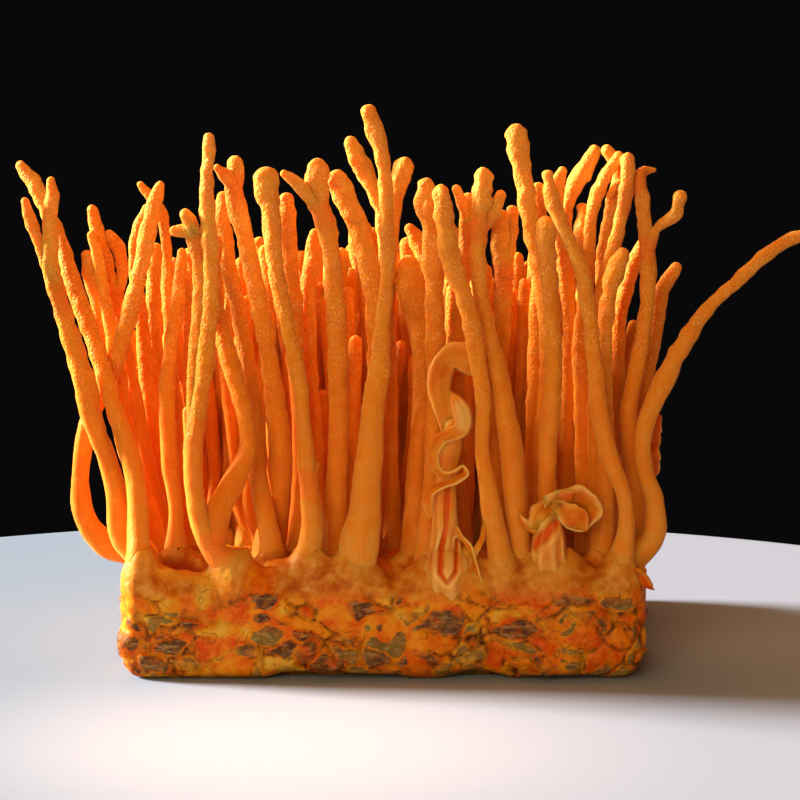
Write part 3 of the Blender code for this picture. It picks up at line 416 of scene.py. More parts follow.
def stem_from_row(depths, row):
    """Centre line and radii of one stem; its depth runs evenly from the foot's to the tip's."""
    first, last = row[0], row[-1]
    starts_on_block = first[1] == 0
    low = BLOCK_HEIGHT if starts_on_block else first[1]
    points = []
    for entry in row:
        share = (max(entry[1], low) - low) / max(last[1] - low, 1.0)
        curl = entry[3] if len(entry) > 3 else 0.0
        depth = depths[0] + (depths[1] - depths[0]) * min(share, 1.0) + curl
        points.append(seen_at(entry[0], entry[1], entry[2], depth))
    points = np.array(points)
    if starts_on_block:
        points[0, 2] = BLOCK_HEIGHT
    return points, starts_on_block


def tuft_stems(x, depth, height):
    """Four stems from one foot; the side ones leave it low down and end lower than the middle one.

    Each bends off its straight line by TUFT_BOW, and the way it bends changes from tuft to tuft.
    """
    y = depth - BLOCK_DEPTH / 2
    lean = np.array([TUFT_FAN * x, TUFT_FAN * max(y, 0.0)])
    foot = np.array([x, y])
    bend = TUFT_BOW * np.array([math.cos(1.9 * x + depth), math.sin(2.3 * x - depth)])
    stems = [(np.array([
        (*foot, BLOCK_HEIGHT, 2.5),
        (*(foot + 0.4 * lean + bend), 0.5 * height, 1.6),
        (*(foot + lean - 0.6 * bend), height, 1.4),
    ]), True)]
    for turn, drop in TUFT_SIDES:
        away = np.array([math.cos(turn + x), math.sin(turn + x)])
        across = np.array([-away[1], away[0]]) * TUFT_BOW * math.sin(1.3 * x + 2.7 * turn + depth)
        tip = height - drop * (1.0 + 0.6 * math.sin(x + 2.0 * depth + turn))
        stems.append((np.array([
            (*(foot + 0.2 * TUFT_SPLAY * away), 22.0, 1.6),
            (*(foot + 0.8 * TUFT_SPLAY * away + 0.4 * lean + across), 0.5 * tip, 1.5),
            (*(foot + TUFT_SPLAY * away + lean - 0.7 * across), tip, 1.2),
        ]), False))
    return stems


def all_stems():
    """Every stem as node name, points with radius (n by 4), and whether it starts on the block."""
    stems = []
    for name, depths, row in ROWS:
        points, on_block = stem_from_row(depths, row)
        stems.append([name, points, on_block])
    for number, tuft in enumerate(TUFTS, 1):
        for points, on_block in tuft_stems(*tuft):
            stems.append(["back_tuft_%02d" % number, points, on_block])
    return stems


def nearest_on(lines, point):
    """The nearest place to a point on any of several centre lines."""
    best = None
    for line in lines:
        start, step = line[:-1, :3], np.diff(line[:, :3], axis=0)
        along = ((point - start) * step).sum(axis=1) / (step ** 2).sum(axis=1)
        places = start + step * np.clip(along, 0.0, 1.0)[:, None]
        gaps = np.linalg.norm(places - point, axis=1)
        if best is None or gaps.min() < best[0]:
            best = (gaps.min(), places[gaps.argmin()])
    return best[1]


def root_branches(stems, whole):
    """Puts each branch's first point on the stems of its node above it; whole moves all of it."""
    for index, (name, points, on_block) in enumerate(stems):
        if on_block:
            continue
        earlier = [other for other_name, other, _ in stems[:index] if other_name == name]
        shift = nearest_on(earlier, points[0, :3]) - points[0, :3]
        if whole:
            points[:, :3] += shift
        else:
            points[0, :3] += shift


def spread_stems(stems):
    """Moves stems of different nodes apart until they are clear of each other, mostly in depth.

    Each centre line is sampled three times a segment. Two samples nearer than their radii and the
    clearance push each other away, and the push is shared out to the segment's two end points.
    """
    root_branches(stems, whole=True)
    names = sorted({name for name, _, _ in stems})
    rows = []
    owner = []
    start = 0
    for name, points, _ in stems:
        count = len(points)
        for k in range(count - 1):
            for part in (0.0, 1 / 3, 2 / 3):
                rows.append((start + k, start + k + 1, part))
                owner.append(names.index(name))
        rows.append((start + count - 1, start + count - 1, 0.0))
        owner.append(names.index(name))
        start += count
    weights = np.zeros((len(rows), start))
    for index, (a, b, part) in enumerate(rows):
        weights[index, a] += 1 - part
        weights[index, b] += part
    owner = np.array(owner)
    apart = owner[:, None] != owner[None, :]
    places = np.vstack([points for _, points, _ in stems])
    radius = weights @ places[:, 3]
    wanted = radius[:, None] + radius[None, :] + STEM_CLEARANCE
    for _ in range(SPREAD_ROUNDS):
        at = weights @ places[:, :3]
        between = at[:, None, :] - at[None, :, :]
        distance = np.sqrt((between ** 2).sum(axis=2)) + 1e-9
        short = np.where(apart, np.clip(wanted - distance, 0.0, 1.0), 0.0)
        if short.max() < 0.02:
            break
        way = between * np.array([SIDEWAYS_SHARE, 1.0, 0.0])
        way /= np.sqrt((way ** 2).sum(axis=2, keepdims=True)) + 1e-9
        push = (way * (0.55 * short)[:, :, None]).sum(axis=1)
        busy = np.maximum((short > 0).sum(axis=1), 1)[:, None]
        push /= np.sqrt(busy)
        load = weights.T @ push
        share = np.maximum((weights ** 2).sum(axis=0), 1.0)[:, None]
        places[:, :3] += load / share
        start = 0
        for stem in stems:
            count = len(stem[1])
            stem[1] = places[start:start + count]
            if stem[2]:
                limit = np.array([BLOCK_WIDTH, BLOCK_DEPTH]) / 2 - FOOT_MARGIN
                stem[1][0, :2] = np.clip(stem[1][0, :2], -limit, limit)
            start += count
        root_branches(stems, whole=False)
    return stems


# ---- noise


def hashed(cells, seed):
    """A fixed number from 0 to 1 for each whole-number cell, mixed by multiply and shift."""
    value = cells[..., 0] * 374761393 + cells[..., 1] * 668265263 + cells[..., 2] * 1440662683
    value = (value + seed * 1274126177) & 0xFFFFFFFF
    value = ((value ^ (value >> 13)) * 1274126177) & 0xFFFFFFFF
    return ((value ^ (value >> 16)) & 0xFFFF) / 65535.0


def noise(points, size, seed):
    """Smooth noise from -1 to 1: values at lattice points size apart, blended by a cubic fade."""
    scaled = points / size
    cells = np.floor(scaled).astype(np.int64)
    part = scaled - cells
    part = part * part * (3 - 2 * part)
    total = np.zeros(points.shape[:-1])
    for corner in np.ndindex(2, 2, 2):
        weight = np.prod(np.where(corner, part, 1 - part), axis=-1)
        total += weight * hashed(cells + np.array(corner), seed)
    return 2 * total - 1


def noise_push(points, size, seed):
    """Three noises side by side, as a push in x, y and z."""
    return np.stack([noise(points, size, seed + k) for k in range(3)], axis=-1)


def nearest_cells(points, size, seed):
    """Cells round scattered places, with one random place in each lattice box of that size.

    Returns the distance to the nearest place, how much farther the second one is, both in cell
    sizes, and two random numbers of the nearest one's own.
    """
    scaled = points / size
    cells = np.floor(scaled).astype(np.int64)
    first = np.full(points.shape[:-1], 9.0)
    second = first.copy()
    numbers = np.zeros(points.shape[:-1] + (2,))
    for corner in np.ndindex(3, 3, 3):
        box = cells + np.array(corner) - 1
        centre = box + np.stack([hashed(box, seed + axis) for axis in range(3)], axis=-1)
        gap = np.linalg.norm(centre - scaled, axis=-1)
        own = np.stack([hashed(box, seed + 7), hashed(box, seed + 8)], axis=-1)
        nearer = gap < first
        second = np.where(nearer, first, np.minimum(second, gap))
        numbers = np.where(nearer[..., None], own, numbers)
        first = np.where(nearer, gap, first)
    return first, second - first, numbers


def eased(value, low, high):
    """0 below low, 1 above high, and between them the smooth rise 3 t^2 - 2 t^3."""
    share = np.clip((value - low) / (high - low), 0.0, 1.0)
    return share * share * (3 - 2 * share)


# ---- fleshy tubes


def reach_along(places):
    """Distance along a line of places, from its first to each of them."""
    steps = np.linalg.norm(np.diff(places, axis=0), axis=1)
    return np.concatenate([[0.0], np.cumsum(steps)])


def smooth_line(line, step):
    """A smooth curve through a stem's points and radii, with a sample about every step mm.

    Between two points it is the cubic Hermite curve whose tangents are the mean slopes of the
    neighbouring chords.
    """
    reach = reach_along(line[:, :3])
    slope = np.gradient(line, reach, axis=0)
    at = np.linspace(0.0, reach[-1], max(int(reach[-1] / step), 6))
    k = np.clip(np.searchsorted(reach, at, side="right") - 1, 0, len(reach) - 2)
    length = (reach[k + 1] - reach[k])[:, None]
    u = (at - reach[k])[:, None] / length
    from_point = (1 + 2 * u) * (1 - u) ** 2
    from_slope = u * (1 - u) ** 2 * length
    to_point = u * u * (3 - 2 * u)
    to_slope = u * u * (u - 1) * length
    return (from_point * line[k] + from_slope * slope[k]
            + to_point * line[k + 1] + to_slope * slope[k + 1])


def rounded_tip(rings):
    """Adds the rings of a half ball beyond the last ring: radius cos(angle), reach sin(angle)."""
    way = rings[-1, :3] - rings[-3, :3]
    way /= np.linalg.norm(way)
    angle = np.linspace(0.0, math.pi / 2, CAP_RINGS + 1)[1:]
    cap = np.repeat(rings[-1:], CAP_RINGS, axis=0)
    cap[:, :3] += way * (rings[-1, 3] * np.sin(angle))[:, None]
    cap[:, 3] *= np.maximum(np.cos(angle), 0.04)
    return np.vstack([rings, cap])


def swept(rings, around, ratio=None, twist=0.0):
    """Grid of points (rings by around) carried along a centre line with radii.

    P(s, a) = centre(s) + radius(s) (cos a * side(s) + thin sin a * front(s)), where side and front
    are square to the line's tangent and turned by twist(s). A round tube has thin 1, and a band
    thin ratio(s) (1 + EDGE_ROLL cos^4 a). Returns points, their outward directions and angles a.
    """
    tangent = np.gradient(rings[:, :3], axis=0)
    tangent /= np.linalg.norm(tangent, axis=1, keepdims=True)
    level = np.cross(np.array([0.0, 1.0, 0.0]), tangent)
    level /= np.linalg.norm(level, axis=1, keepdims=True)
    square = np.cross(tangent, level)
    turn = np.broadcast_to(twist, len(rings))[:, None]
    side = level * np.cos(turn) + square * np.sin(turn)
    front = square * np.cos(turn) - level * np.sin(turn)
    angle = np.linspace(0, 2 * math.pi, around, endpoint=False)
    thin = np.ones((1, around))
    if ratio is not None:
        thin = ratio[:, None] * (1 + EDGE_ROLL * np.cos(angle) ** 4)
    across = np.cos(angle)[None, :, None] * side[:, None]
    way = across + (thin * np.sin(angle))[..., None] * front[:, None]
    points = rings[:, None, :3] + rings[:, None, 3:] * way
    return points, way, angle


def fleshy_tube(line, fineness, look, seed, rooted):
    """One stem's skin, and the numbers its material reads.

    The radius is multiplied by a flare at the foot, 1 + share exp(-s / length), by a swell below
    the tip and by slow changes along the stem; the part inside the block is tucked in. The skin is
    then pushed along its own direction by lumps of three sizes, more in the upper half than at the
    foot, by lengthwise streaks in the lower half, and by a slightly oval section.
    """
    around, step = fineness
    rings = smooth_line(line, step)
    reach = reach_along(rings[:, :3])
    left = reach[-1] - reach
    upright = rings[:, :3] * (0, 0, 1)
    wander = np.stack([noise(upright + seed * 7.3 + k * 31.0, WANDER[1], seed) for k in range(2)],
                      axis=-1)
    fade = eased(reach, 0.0, WANDER_FADES[0]) * eased(left, 0.0, WANDER_FADES[1])
    rings[:, :2] += WANDER[0] * wander * fade[:, None]
    share, length = FOOT_FLARE if rooted else FORK_FLARE
    flare = share * np.exp(-reach / length)
    if rooted:
        flare = flare - FOOT_TUCK[0] * (1 - eased(reach, 0.0, FOOT_TUCK[1]))
    swell = TIP_SWELL[0] * np.exp(-((left - TIP_SWELL_DROP) / TIP_SWELL[1]) ** 2)
    uneven = UNEVEN[0] * noise(rings[:, :3] + seed * 3.1, UNEVEN[1], seed + 3)
    rings[:, 3] *= (1 + flare) * (1 + swell + uneven)
    rings = rounded_tip(rings)
    reach = np.concatenate([reach, np.full(CAP_RINGS, reach[-1])])
    points, way, angle = swept(rings, around)
    rise = np.clip((points[..., 2] - BLOCK_HEIGHT) / RISE_LENGTH, 0.0, 1.0)
    shares = (0.10, 0.05 + 0.13 * rise, 0.03 + 0.10 * eased(rise, 0.1, 0.75))
    lumps = sum(share * noise(points, size, seed + k)
                for k, (share, size) in enumerate(zip(shares, LUMP_SIZES)))
    along = np.stack(np.broadcast_arrays(STREAK_RING * np.cos(angle), STREAK_RING * np.sin(angle),
                                         points[..., 2] / STREAK_SQUEEZE), axis=-1)
    lumps += STREAKS[0] * noise(along, STREAKS[1], seed + 5) * eased(0.75 - rise, 0.0, 0.5)
    oval = OVAL * (2 * hashed(np.array([seed, 5, 9]), 4) - 1)
    lumps += oval * np.cos(2 * angle + seed)[None, :]
    amount = rings[:, 3][:, None] * (0.6 + 0.7 * rise)
    points = points + way * (amount * lumps)[..., None]
    foot = look["pale"] * np.exp(-reach / look["pale_length"])
    if rooted:
        shade, height, fading = PALE_HEM
        foot = np.maximum(foot, shade * np.exp(-np.maximum(reach - height, 0.0) / fading))
    foot = np.broadcast_to(foot[:, None], rise.shape)
    tone = np.full(rise.shape, look["tone"])
    return points, {"rise": rise, "foot": foot, "tone": tone, "joint": np.zeros(rise.shape)}


def closed_grid(points):
    """Vertices and faces of a closed tube from its grid, with a pole at each end."""
    rows, around = points.shape[:2]
    poles = np.stack([points[0].mean(axis=0), points[-1].mean(axis=0)])
    vertices = np.vstack([points.reshape(-1, 3), poles])
    k = np.arange(around)
    following = (k + 1) % around
    first = np.arange(rows - 1)[:, None] * around
    a, b = first + k, first + following
    quads = np.stack([a, b, b + around, a + around], axis=-1).reshape(-1, 4)
    pole = np.full(around, rows * around)
    last = (rows - 1) * around
    start = np.stack([pole, following, k], axis=-1)
    end = np.stack([pole + 1, last + k, last + following], axis=-1)
    return vertices, quads, np.vstack([start, end])


def join_grids(grids):
    """One mesh's worth of vertices, faces and attributes from several closed grids."""
    vertices, quads, triangles, values = [], [], [], {}
    offset = 0
    for points, attributes in grids:
        own, four, three = closed_grid(points)
        vertices.append(own)
        quads.append(four + offset)
        triangles.append(three + offset)
        for name, value in attributes.items():
            ends = [value[0].mean(), value[-1].mean()]
            values.setdefault(name, []).append(np.concatenate([value.ravel(), ends]))
        offset += len(own)
    joined = {name: np.concatenate(parts) for name, parts in values.items()}
    return np.vstack(vertices), np.vstack(quads), np.vstack(triangles), joined


def mesh_object(name, grids, material):
    """A smooth shaded mesh object from closed grids in millimetres, with its material."""
    vertices, quads, triangles, attributes = join_grids(grids)
    turns = np.concatenate([quads.ravel(), triangles.ravel()])
    starts = np.concatenate([np.arange(0, quads.size, 4), np.arange(quads.size, turns.size, 3)])
    mesh = bpy.data.meshes.new(name)
    mesh.vertices.add(len(vertices))
    mesh.vertices.foreach_set("co", (vertices * MM).astype(np.float32).ravel())
    mesh.loops.add(len(turns))
    mesh.loops.foreach_set("vertex_index", turns.astype(np.int32))
    mesh.polygons.add(len(starts))
    mesh.polygons.foreach_set("loop_start", starts.astype(np.int32))
    mesh.update(calc_edges=True)
    mesh.validate()
    for attribute_name, values in attributes.items():
        attribute = mesh.attributes.new(attribute_name, "FLOAT", "POINT")
        attribute.data.foreach_set("value", values.astype(np.float32))
    mesh.shade_smooth()
    mesh.materials.append(material)
    made = bpy.data.objects.new(name, mesh)
    bpy.context.scene.collection.objects.link(made)
    return made


def add_piece(name, grids, material, replaced):
    """A visible piece that rides on the object's one body and replaces the named nodes."""
    piece = mesh_object(name, grids, material)
    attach(piece, "root")
    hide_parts(*replaced)


# ---- grain block


def block_rows():
    """The block's profile from the middle of its underside, round its side, to its top's middle.

    Each row is (how far out it lies: 0 in the middle to 1 at the rounding's start, height, and the
    outward and upward parts of the rounding's direction).
    """
    low, high = BLOCK_ROUNDING, BLOCK_HEIGHT - BLOCK_ROUNDING
    arc = np.linspace(0.0, math.pi / 2, ARC_ROWS)
    rows = [(share, 0.0, 0.0, -1.0) for share in np.linspace(0.04, 0.94, ARC_ROWS)]
    rows += [(1.0, low, math.sin(a), -math.cos(a)) for a in arc]
    rows += [(1.0, z, 1.0, 0.0) for z in np.arange(low, high, SIDE_STEP)[1:]]
    rows += [(1.0, high, math.cos(a), math.sin(a)) for a in arc]
    inward = 1.0 - np.linspace(0.0, 0.97, TOP_ROWS + 1)[1:] ** 1.25
    rows += [(share, BLOCK_HEIGHT, 0.0, 1.0) for share in inward]
    return np.array(rows)


def rim_ring():
    """Points round the block's rounded outline and their outward directions, evenly spaced."""
    half = np.array([BLOCK_WIDTH, BLOCK_DEPTH]) / 2 - BLOCK_ROUNDING
    start = math.pi / 2 * np.arange(-1, 3)
    angle = np.linspace(start, start + math.pi / 2, CORNER_POINTS, axis=-1).ravel()
    ways = np.stack([np.cos(angle), np.sin(angle)], axis=-1)
    quarters = np.array([(1, -1), (1, 1), (-1, 1), (-1, -1)])
    both = np.hstack([np.repeat(quarters * half, CORNER_POINTS, axis=0), ways])
    both = np.vstack([both, both[:1]])
    reach = reach_along(both[:, :2] + both[:, 2:] * BLOCK_ROUNDING)
    at = np.linspace(0.0, reach[-1], COLUMNS, endpoint=False)
    sampled = np.stack([np.interp(at, reach, both[:, k]) for k in range(4)], axis=1)
    sampled[:, 2:] /= np.linalg.norm(sampled[:, 2:], axis=1, keepdims=True)
    return sampled[:, :2], sampled[:, 2:]


def foot_flares(points, feet):
    """How high the skin climbs the stems' feet.

    Each foot's flare falls off as height exp(-gap / reach), with the foot's own reach made uneven
    by noise. Where flares meet, the skin is the cube root of the sum of their cubes.
    """
    cubes = np.zeros(points.shape[:-1])
    uneven = 1.0 + 0.35 * noise(points, 2.6, 95)
    for x, y, radius, height, reach in feet:
        gap = np.maximum(np.hypot(points[..., 0] - x, points[..., 1] - y) - radius, 0.0)
        cubes = cubes + (height * np.exp(-gap / (reach * uneven))) ** 3
    return np.cbrt(cubes) * (0.85 + 0.25 * uneven)


def web_ridges(points, feet):
    """Thin webs of skin between neighbouring feet of the front row, hanging like a slack cord.

    Along the line between two feet, t from 0 to 1, the web is WEB_HEIGHT (0.2 + 0.8 (2 t - 1)^2)
    high and stands 4 WEB_BOW t (1 - t) before the line. It falls off across as
    exp(-(gap / WEB_WIDTH)^2).
    """
    front = sorted(foot[:2] for foot in feet if foot[1] < WEB_ROW)
    ridge = np.zeros(points.shape[:-1])
    for start, end in zip(front[:-1], front[1:]):
        step = np.subtract(end, start)
        if not WEB_SPANS[0] < np.hypot(*step) < WEB_SPANS[1]:
            continue
        flat = points[..., :2] - np.array(start)
        along = np.clip(flat @ step / (step @ step), 0.0, 1.0)
        bow = np.array([0.0, -WEB_BOW]) * (4 * along * (1 - along))[..., None]
        gap = np.linalg.norm(flat - along[..., None] * step - bow, axis=-1)
        height = WEB_HEIGHT * (0.2 + 0.8 * (2 * along - 1) ** 2)
        ridge = np.maximum(ridge, height * np.exp(-(gap / WEB_WIDTH) ** 2))
    return ridge


def block_box():
    """The frame's rounded block as a closed grid.

    Returns its points, their outward directions, and for each row how far out it lies and the
    outward part of its direction.
    """
    core, way = rim_ring()
    share, height, out, up = block_rows().T[:, :, None]
    points = np.zeros((len(out), COLUMNS, 3))
    normal = np.zeros_like(points)
    inset = np.where(out > 0, 1.0, share)[..., None]
    points[..., :2] = core[None] * inset + way[None] * (out * BLOCK_ROUNDING)[..., None]
    points[..., 2] = np.where(out > 0, height + up * BLOCK_ROUNDING, height)
    normal[..., :2] = way[None] * out[..., None]
    normal[..., 2] = up
    return points, normal, share, out


def block_cells(points, top):
    """Grains and patches of mycelium: warped cells, each a dome parted from the next by a crease.

    The dome is sqrt(1 - (distance / DOME_REACH)^2). Returns the push outward, and how much each
    point is grain, its tone, and how much it is crease, all from 0 to 1. The cells are weaker on
    the top, where skin covers them.
    """
    warp, fine_warp = noise_push(points, 6.5, 40), noise_push(points, 2.4, 50)
    stretched = (points + 2.2 * warp + 1.0 * fine_warp) * np.array(CELL_STRETCH)
    near, gap, numbers = nearest_cells(stretched, CELL_SIZE, 11)
    everywhere, lower, at_left = GRAIN_SHARES
    low = 1.0 - eased(points[..., 2], 3.0, 15.0)
    left = eased(-points[..., 0], 30.0, 44.0)
    chosen = numbers[..., 0] < everywhere + (lower + at_left * left) * low
    grain = chosen * eased(gap, 0.0, 0.30) * (1.0 - top)
    tone = 0.5 + (numbers[..., 1] - 0.5) * eased(gap, 0.0, 0.22)
    crease = 1.0 - eased(gap, 0.02, 0.13)
    crease = crease * eased(noise(points, 5.0, 61), -0.35, 0.1) * (1.0 - 0.7 * top)
    dome = np.sqrt(np.clip(1.0 - (near / DOME_REACH) ** 2, 0.0, 1.0))
    push = DOME_HEIGHT * (dome - 0.5) * (1 - top) + GRAIN_HEIGHT * grain * dome
    return push - CREASE_DEPTH * crease, grain, tone, crease


def block_grid(feet):
    """The block's skin as one closed grid of points, with the numbers its material reads.

    The frame's rounded block is pushed along its own outward direction by low swells, by its cells
    and by fine wrinkles. Its lower edge lifts off the table where noise is above -0.3. On top the
    skin rises to the feet's flares or the webs between them, whichever is higher, and sinks in
    hollows elsewhere. Below the feet the front skin stands out a little.
    """
    points, normal, share, out = block_box()
    top = eased(points[..., 2], BLOCK_HEIGHT - 5.0, BLOCK_HEIGHT - 1.5)
    cells, grain, tone, crease = block_cells(points, top)
    push = block_lumps(points[..., 0], points[..., 1], points[..., 2]) + cells
    for size, height, seed in WRINKLES:
        push = push + height * noise(points, size, seed)
    points = points + normal * (push * eased(points[..., 2], 0.3, 2.6))[..., None]
    lift = np.clip(noise(points * (1, 1, 0), 8.0, 91) + 0.3, 0.0, 1.0) * LIFT
    points[..., 2] += lift * (1.0 - eased(points[..., 2], 1.0, 7.0)) * eased(out, 0.0, 0.2)
    flares, web = foot_flares(points, feet), web_ridges(points, feet)
    near_foot = eased(flares, 0.8, 3.5)
    # Dips in the top skin, sunk below and painted red-brown there as shade
    hollow_and_painted_shade = top * eased(noise(points, 4.6, 97), -0.1, 0.5) * (1 - near_foot)
    hollow_and_painted_shade = hollow_and_painted_shade * eased(1.0 - share, 0.02, 0.12)
    climb = np.clip(normal[..., 2], 0.0, 1.0) ** 1.5 * eased(points[..., 2], 12.0, 17.0)
    sunk = HOLLOW_DEPTH * hollow_and_painted_shade * (1 - eased(web, 0.1, 0.6))
    points[..., 2] += climb * (np.maximum(flares, web) - sunk)
    swell = FOOT_SWELL * np.clip(out, 0, 1) * eased(points[..., 2], 8.0, 17.0)
    for size, height, seed in FOOT_WRINKLES:
        swell = swell + height * noise(points, size, seed)
    swell = swell * near_foot * eased(points[..., 2], 6.0, 12.0)
    points = points + normal * swell[..., None]
    covered = eased(noise(points, 7.0, 81) + 0.35 + 0.8 * near_foot, -0.2, 0.5)
    return points, {
        "grain": grain,
        "tone": tone,
        "crease": crease,
        "skin": np.clip(top * covered, 0, 1),
        "cream_foot": 0.6 * near_foot * eased(points[..., 2], 14.5, 18.5),
        "hollow_and_painted_shade": hollow_and_painted_shade,
        "web": eased(web, 0.25, 0.9) * climb,
    }


def block_feet(stems):
    """Where stems stand: x, y, radius, how high the skin climbs them and how far it reaches."""
    feet = []
    for name, points, on_block in stems:
        if on_block:
            x, y, _, radius = points[0]
            height = FLARE_HEIGHTS[0] + FLARE_HEIGHTS[1] * eased(-y, 18.0, 33.0)
            reach = FLARE_REACH * (STALK_FLARE if name in STALK_POINTS else 1.0)
            feet.append((x, y, radius, height, reach))
    return feet


# ---- materials

SMOOTH = {"interpolation_type": "SMOOTHSTEP"}


def linear(colour):
    """An sRGB hex colour such as #E8852A as linear red, green, blue and alpha."""
    values = [int(colour[k:k + 2], 16) / 255 for k in (1, 3, 5)]
    curved = [v / 12.92 if v <= 0.04045 else ((v + 0.055) / 1.055) ** 2.4 for v in values]
    return (*curved, 1.0)


def add_node(tree, kind, inputs, out=0, stops=(), **settings):
    """Adds a shader node and gives one of its outputs, by number or name.

    Inputs are numbers, hex colours or other nodes' outputs, in order or by number or name. Stops
    are a ramp's places and colours, and settings are the node's own properties.
    """
    made = tree.nodes.new("ShaderNode" + kind)
    for name, value in settings.items():
        setattr(made, name, value)
    if not isinstance(inputs, dict):
        inputs = dict(enumerate(inputs))
    for name, value in inputs.items():
        if isinstance(value, bpy.types.NodeSocket):
            tree.links.new(value, made.inputs[name])
        else:
            made.inputs[name].default_value = linear(value) if isinstance(value, str) else value
    if stops:
        elements = made.color_ramp.elements
        while len(elements) < len(stops):
            elements.new(0.5)
        for element, (place, colour) in zip(elements, stops):
            element.position = place
            element.color = linear(colour)
    return made.outputs[out]


def start_material(name, roughness, scatter, scatter_size, sheen=None):
    """A material with its shader's own settings made, and the function that adds its nodes.

    Scatter is the share of light that enters, and scatter_size how far it spreads, in mm. Red
    spreads furthest, as in all flesh.
    """
    material = bpy.data.materials.new(name)
    material.use_nodes = True
    settings = {
        "Roughness": roughness,
        "IOR": 1.38,                    # moist flesh
        "Specular IOR Level": 0.14,     # felt and satin scatter most of the gloss
        "Subsurface Weight": scatter,
        "Subsurface Radius": (1.0, 0.4, 0.08),
        "Subsurface Scale": scatter_size * MM,
        **(sheen or {}),
    }
    for socket, value in settings.items():
        material.node_tree.nodes["Principled BSDF"].inputs[socket].default_value = value
    return material, partial(add_node, material.node_tree)


def finished(material, outputs):
    """The material, with each output linked to its shader's socket of that name."""
    shader = material.node_tree.nodes["Principled BSDF"]
    for socket, output in outputs.items():
        material.node_tree.links.new(output, shader.inputs[socket])
    return material


def patterns(node, place, rows):
    """Patterns over a skin, by name: a noise, and its smooth share of the way from low to high.

    Each row is (name, width of the noise's features in mm, how much finer detail it has, low,
    high, and what the share goes from and to).
    """
    found = {}
    for name, size, detail, low, high, least, most in rows:
        spots = node("TexNoise", {"Vector": place, "Scale": 1 / (size * MM), "Detail": detail})
        found[name] = node("MapRange", (spots, low, high, least, most), **SMOOTH)
    return found


def layered(node, colour, layers):
    """A colour with others laid over it in turn, each as far as its own share from 0 to 1."""
    for share, over in layers:
        colour = node("Mix", {0: share, 6: colour, 7: over}, 2, data_type="RGBA")
    return colour


def pale_skin(node, blotches):
    """The feet's cream skin, the same on stems and block, with tan blotches."""
    return layered(node, "#D69C3A", [(blotches, "#D98A22")])


def club_skin():
    """Cordyceps flesh, grown as moist clubs: a felt of fine threads round a soft orange core.

    The felt gives a velvety sheen and no sharp glint, and light spreads 2.4 mm inside, so that
    thin tips glow. The upper half carries spore pimples 0.55 mm apart, their tops painted pale:
    partly dust, partly a painted highlight. The foot is smooth, cream and streaked lengthwise.
    """
    material, node = start_material("cordyceps_club_skin", 0.5, 0.55, 2.4, {
        "Sheen Weight": 0.4, "Sheen Roughness": 0.5, "Sheen Tint": linear("#FFC078")})
    place = node("TexCoord", (), "Object")
    rise, foot, tone, joint = (node("Attribute", (), "Fac", attribute_name=name)
                               for name in ("rise", "foot", "tone", "joint"))
    pattern = patterns(node, place, (
        ("mottle", 5.0, 2.0, 0.35, 0.7, 0.0, 0.35),
        ("patch", 1.7, 3.0, 0.5, 0.75, 0.0, 0.3),
        ("dust_and_highlight", 3.0, 2.0, 0.35, 0.6, 0.0, 1.0),
        ("cream", 2.6, 2.0, 0.4, 0.65, 0.0, 1.0),
        ("roughness", 0.9, 2.0, 0.3, 0.7, 0.42, 0.6),
    ))
    pimples = node("TexVoronoi", {"Vector": place, "Scale": 1 / (0.55 * MM)})
    colour = node("ValToRGB", (rise,), stops=(
        (0.0, "#CE6C09"), (0.25, "#DC780C"), (0.6, "#E08A16"), (1.0, "#E4A440")))
    # Pale tops on the upper pimples: partly dust, partly a painted highlight on the bumps
    dust_and_highlight_share = node("Math", (node("MapRange", (rise, 0.2, 0.7), **SMOOTH), pattern["dust_and_highlight"]),
                  operation="MULTIPLY")
    tops = node("MapRange", (pimples, 0.1, 0.6, 0.55, 0.0), **SMOOTH)
    colour = layered(node, colour, (
        (node("MapRange", (tone, 0.0, 1.0, 0.0, 0.35), **SMOOTH), "#DC7A12"),
        (pattern["mottle"], "#D46008"),
        (pattern["patch"], "#F0A236"),
        (node("Math", (tops, dust_and_highlight_share), operation="MULTIPLY"), "#F6C070"),
        (foot, pale_skin(node, pattern["cream"])),
        (node("MapRange", (joint, 0.0, 1.0, 0.0, 0.6), **SMOOTH), "#E8641A"),
    ))
    domes = node("Math", (node("MapRange", (pimples, 0.0, 0.75, 1.0, 0.0), **SMOOTH),
                          node("MapRange", (rise, 0.15, 0.7, 0.15, 1.0), **SMOOTH)),
                 operation="MULTIPLY")
    upright = node("Mapping", {"Vector": place, "Scale": (1.0, 1.0, 0.14)})
    streaks = node("TexNoise", {"Vector": upright, "Scale": 1 / (0.5 * MM), "Detail": 2.0})
    streaks = node("Math", (streaks, node("MapRange", (rise, 0.0, 0.6, 1.0, 0.2), **SMOOTH)),
                   operation="MULTIPLY")
    height = node("Math", (domes, streaks), operation="ADD")
    return finished(material, {
        "Base Color": colour,
        "Normal": node("Bump", {"Height": height, "Strength": 0.8, "Distance": 0.2 * MM}),
        "Roughness": pattern["roughness"],
        # Light that spreads inside would be lost where a branch starts inside its stem.
        "Subsurface Weight": node("MapRange", (joint, 0.0, 1.0, 0.55, 0.0), **SMOOTH),
    })


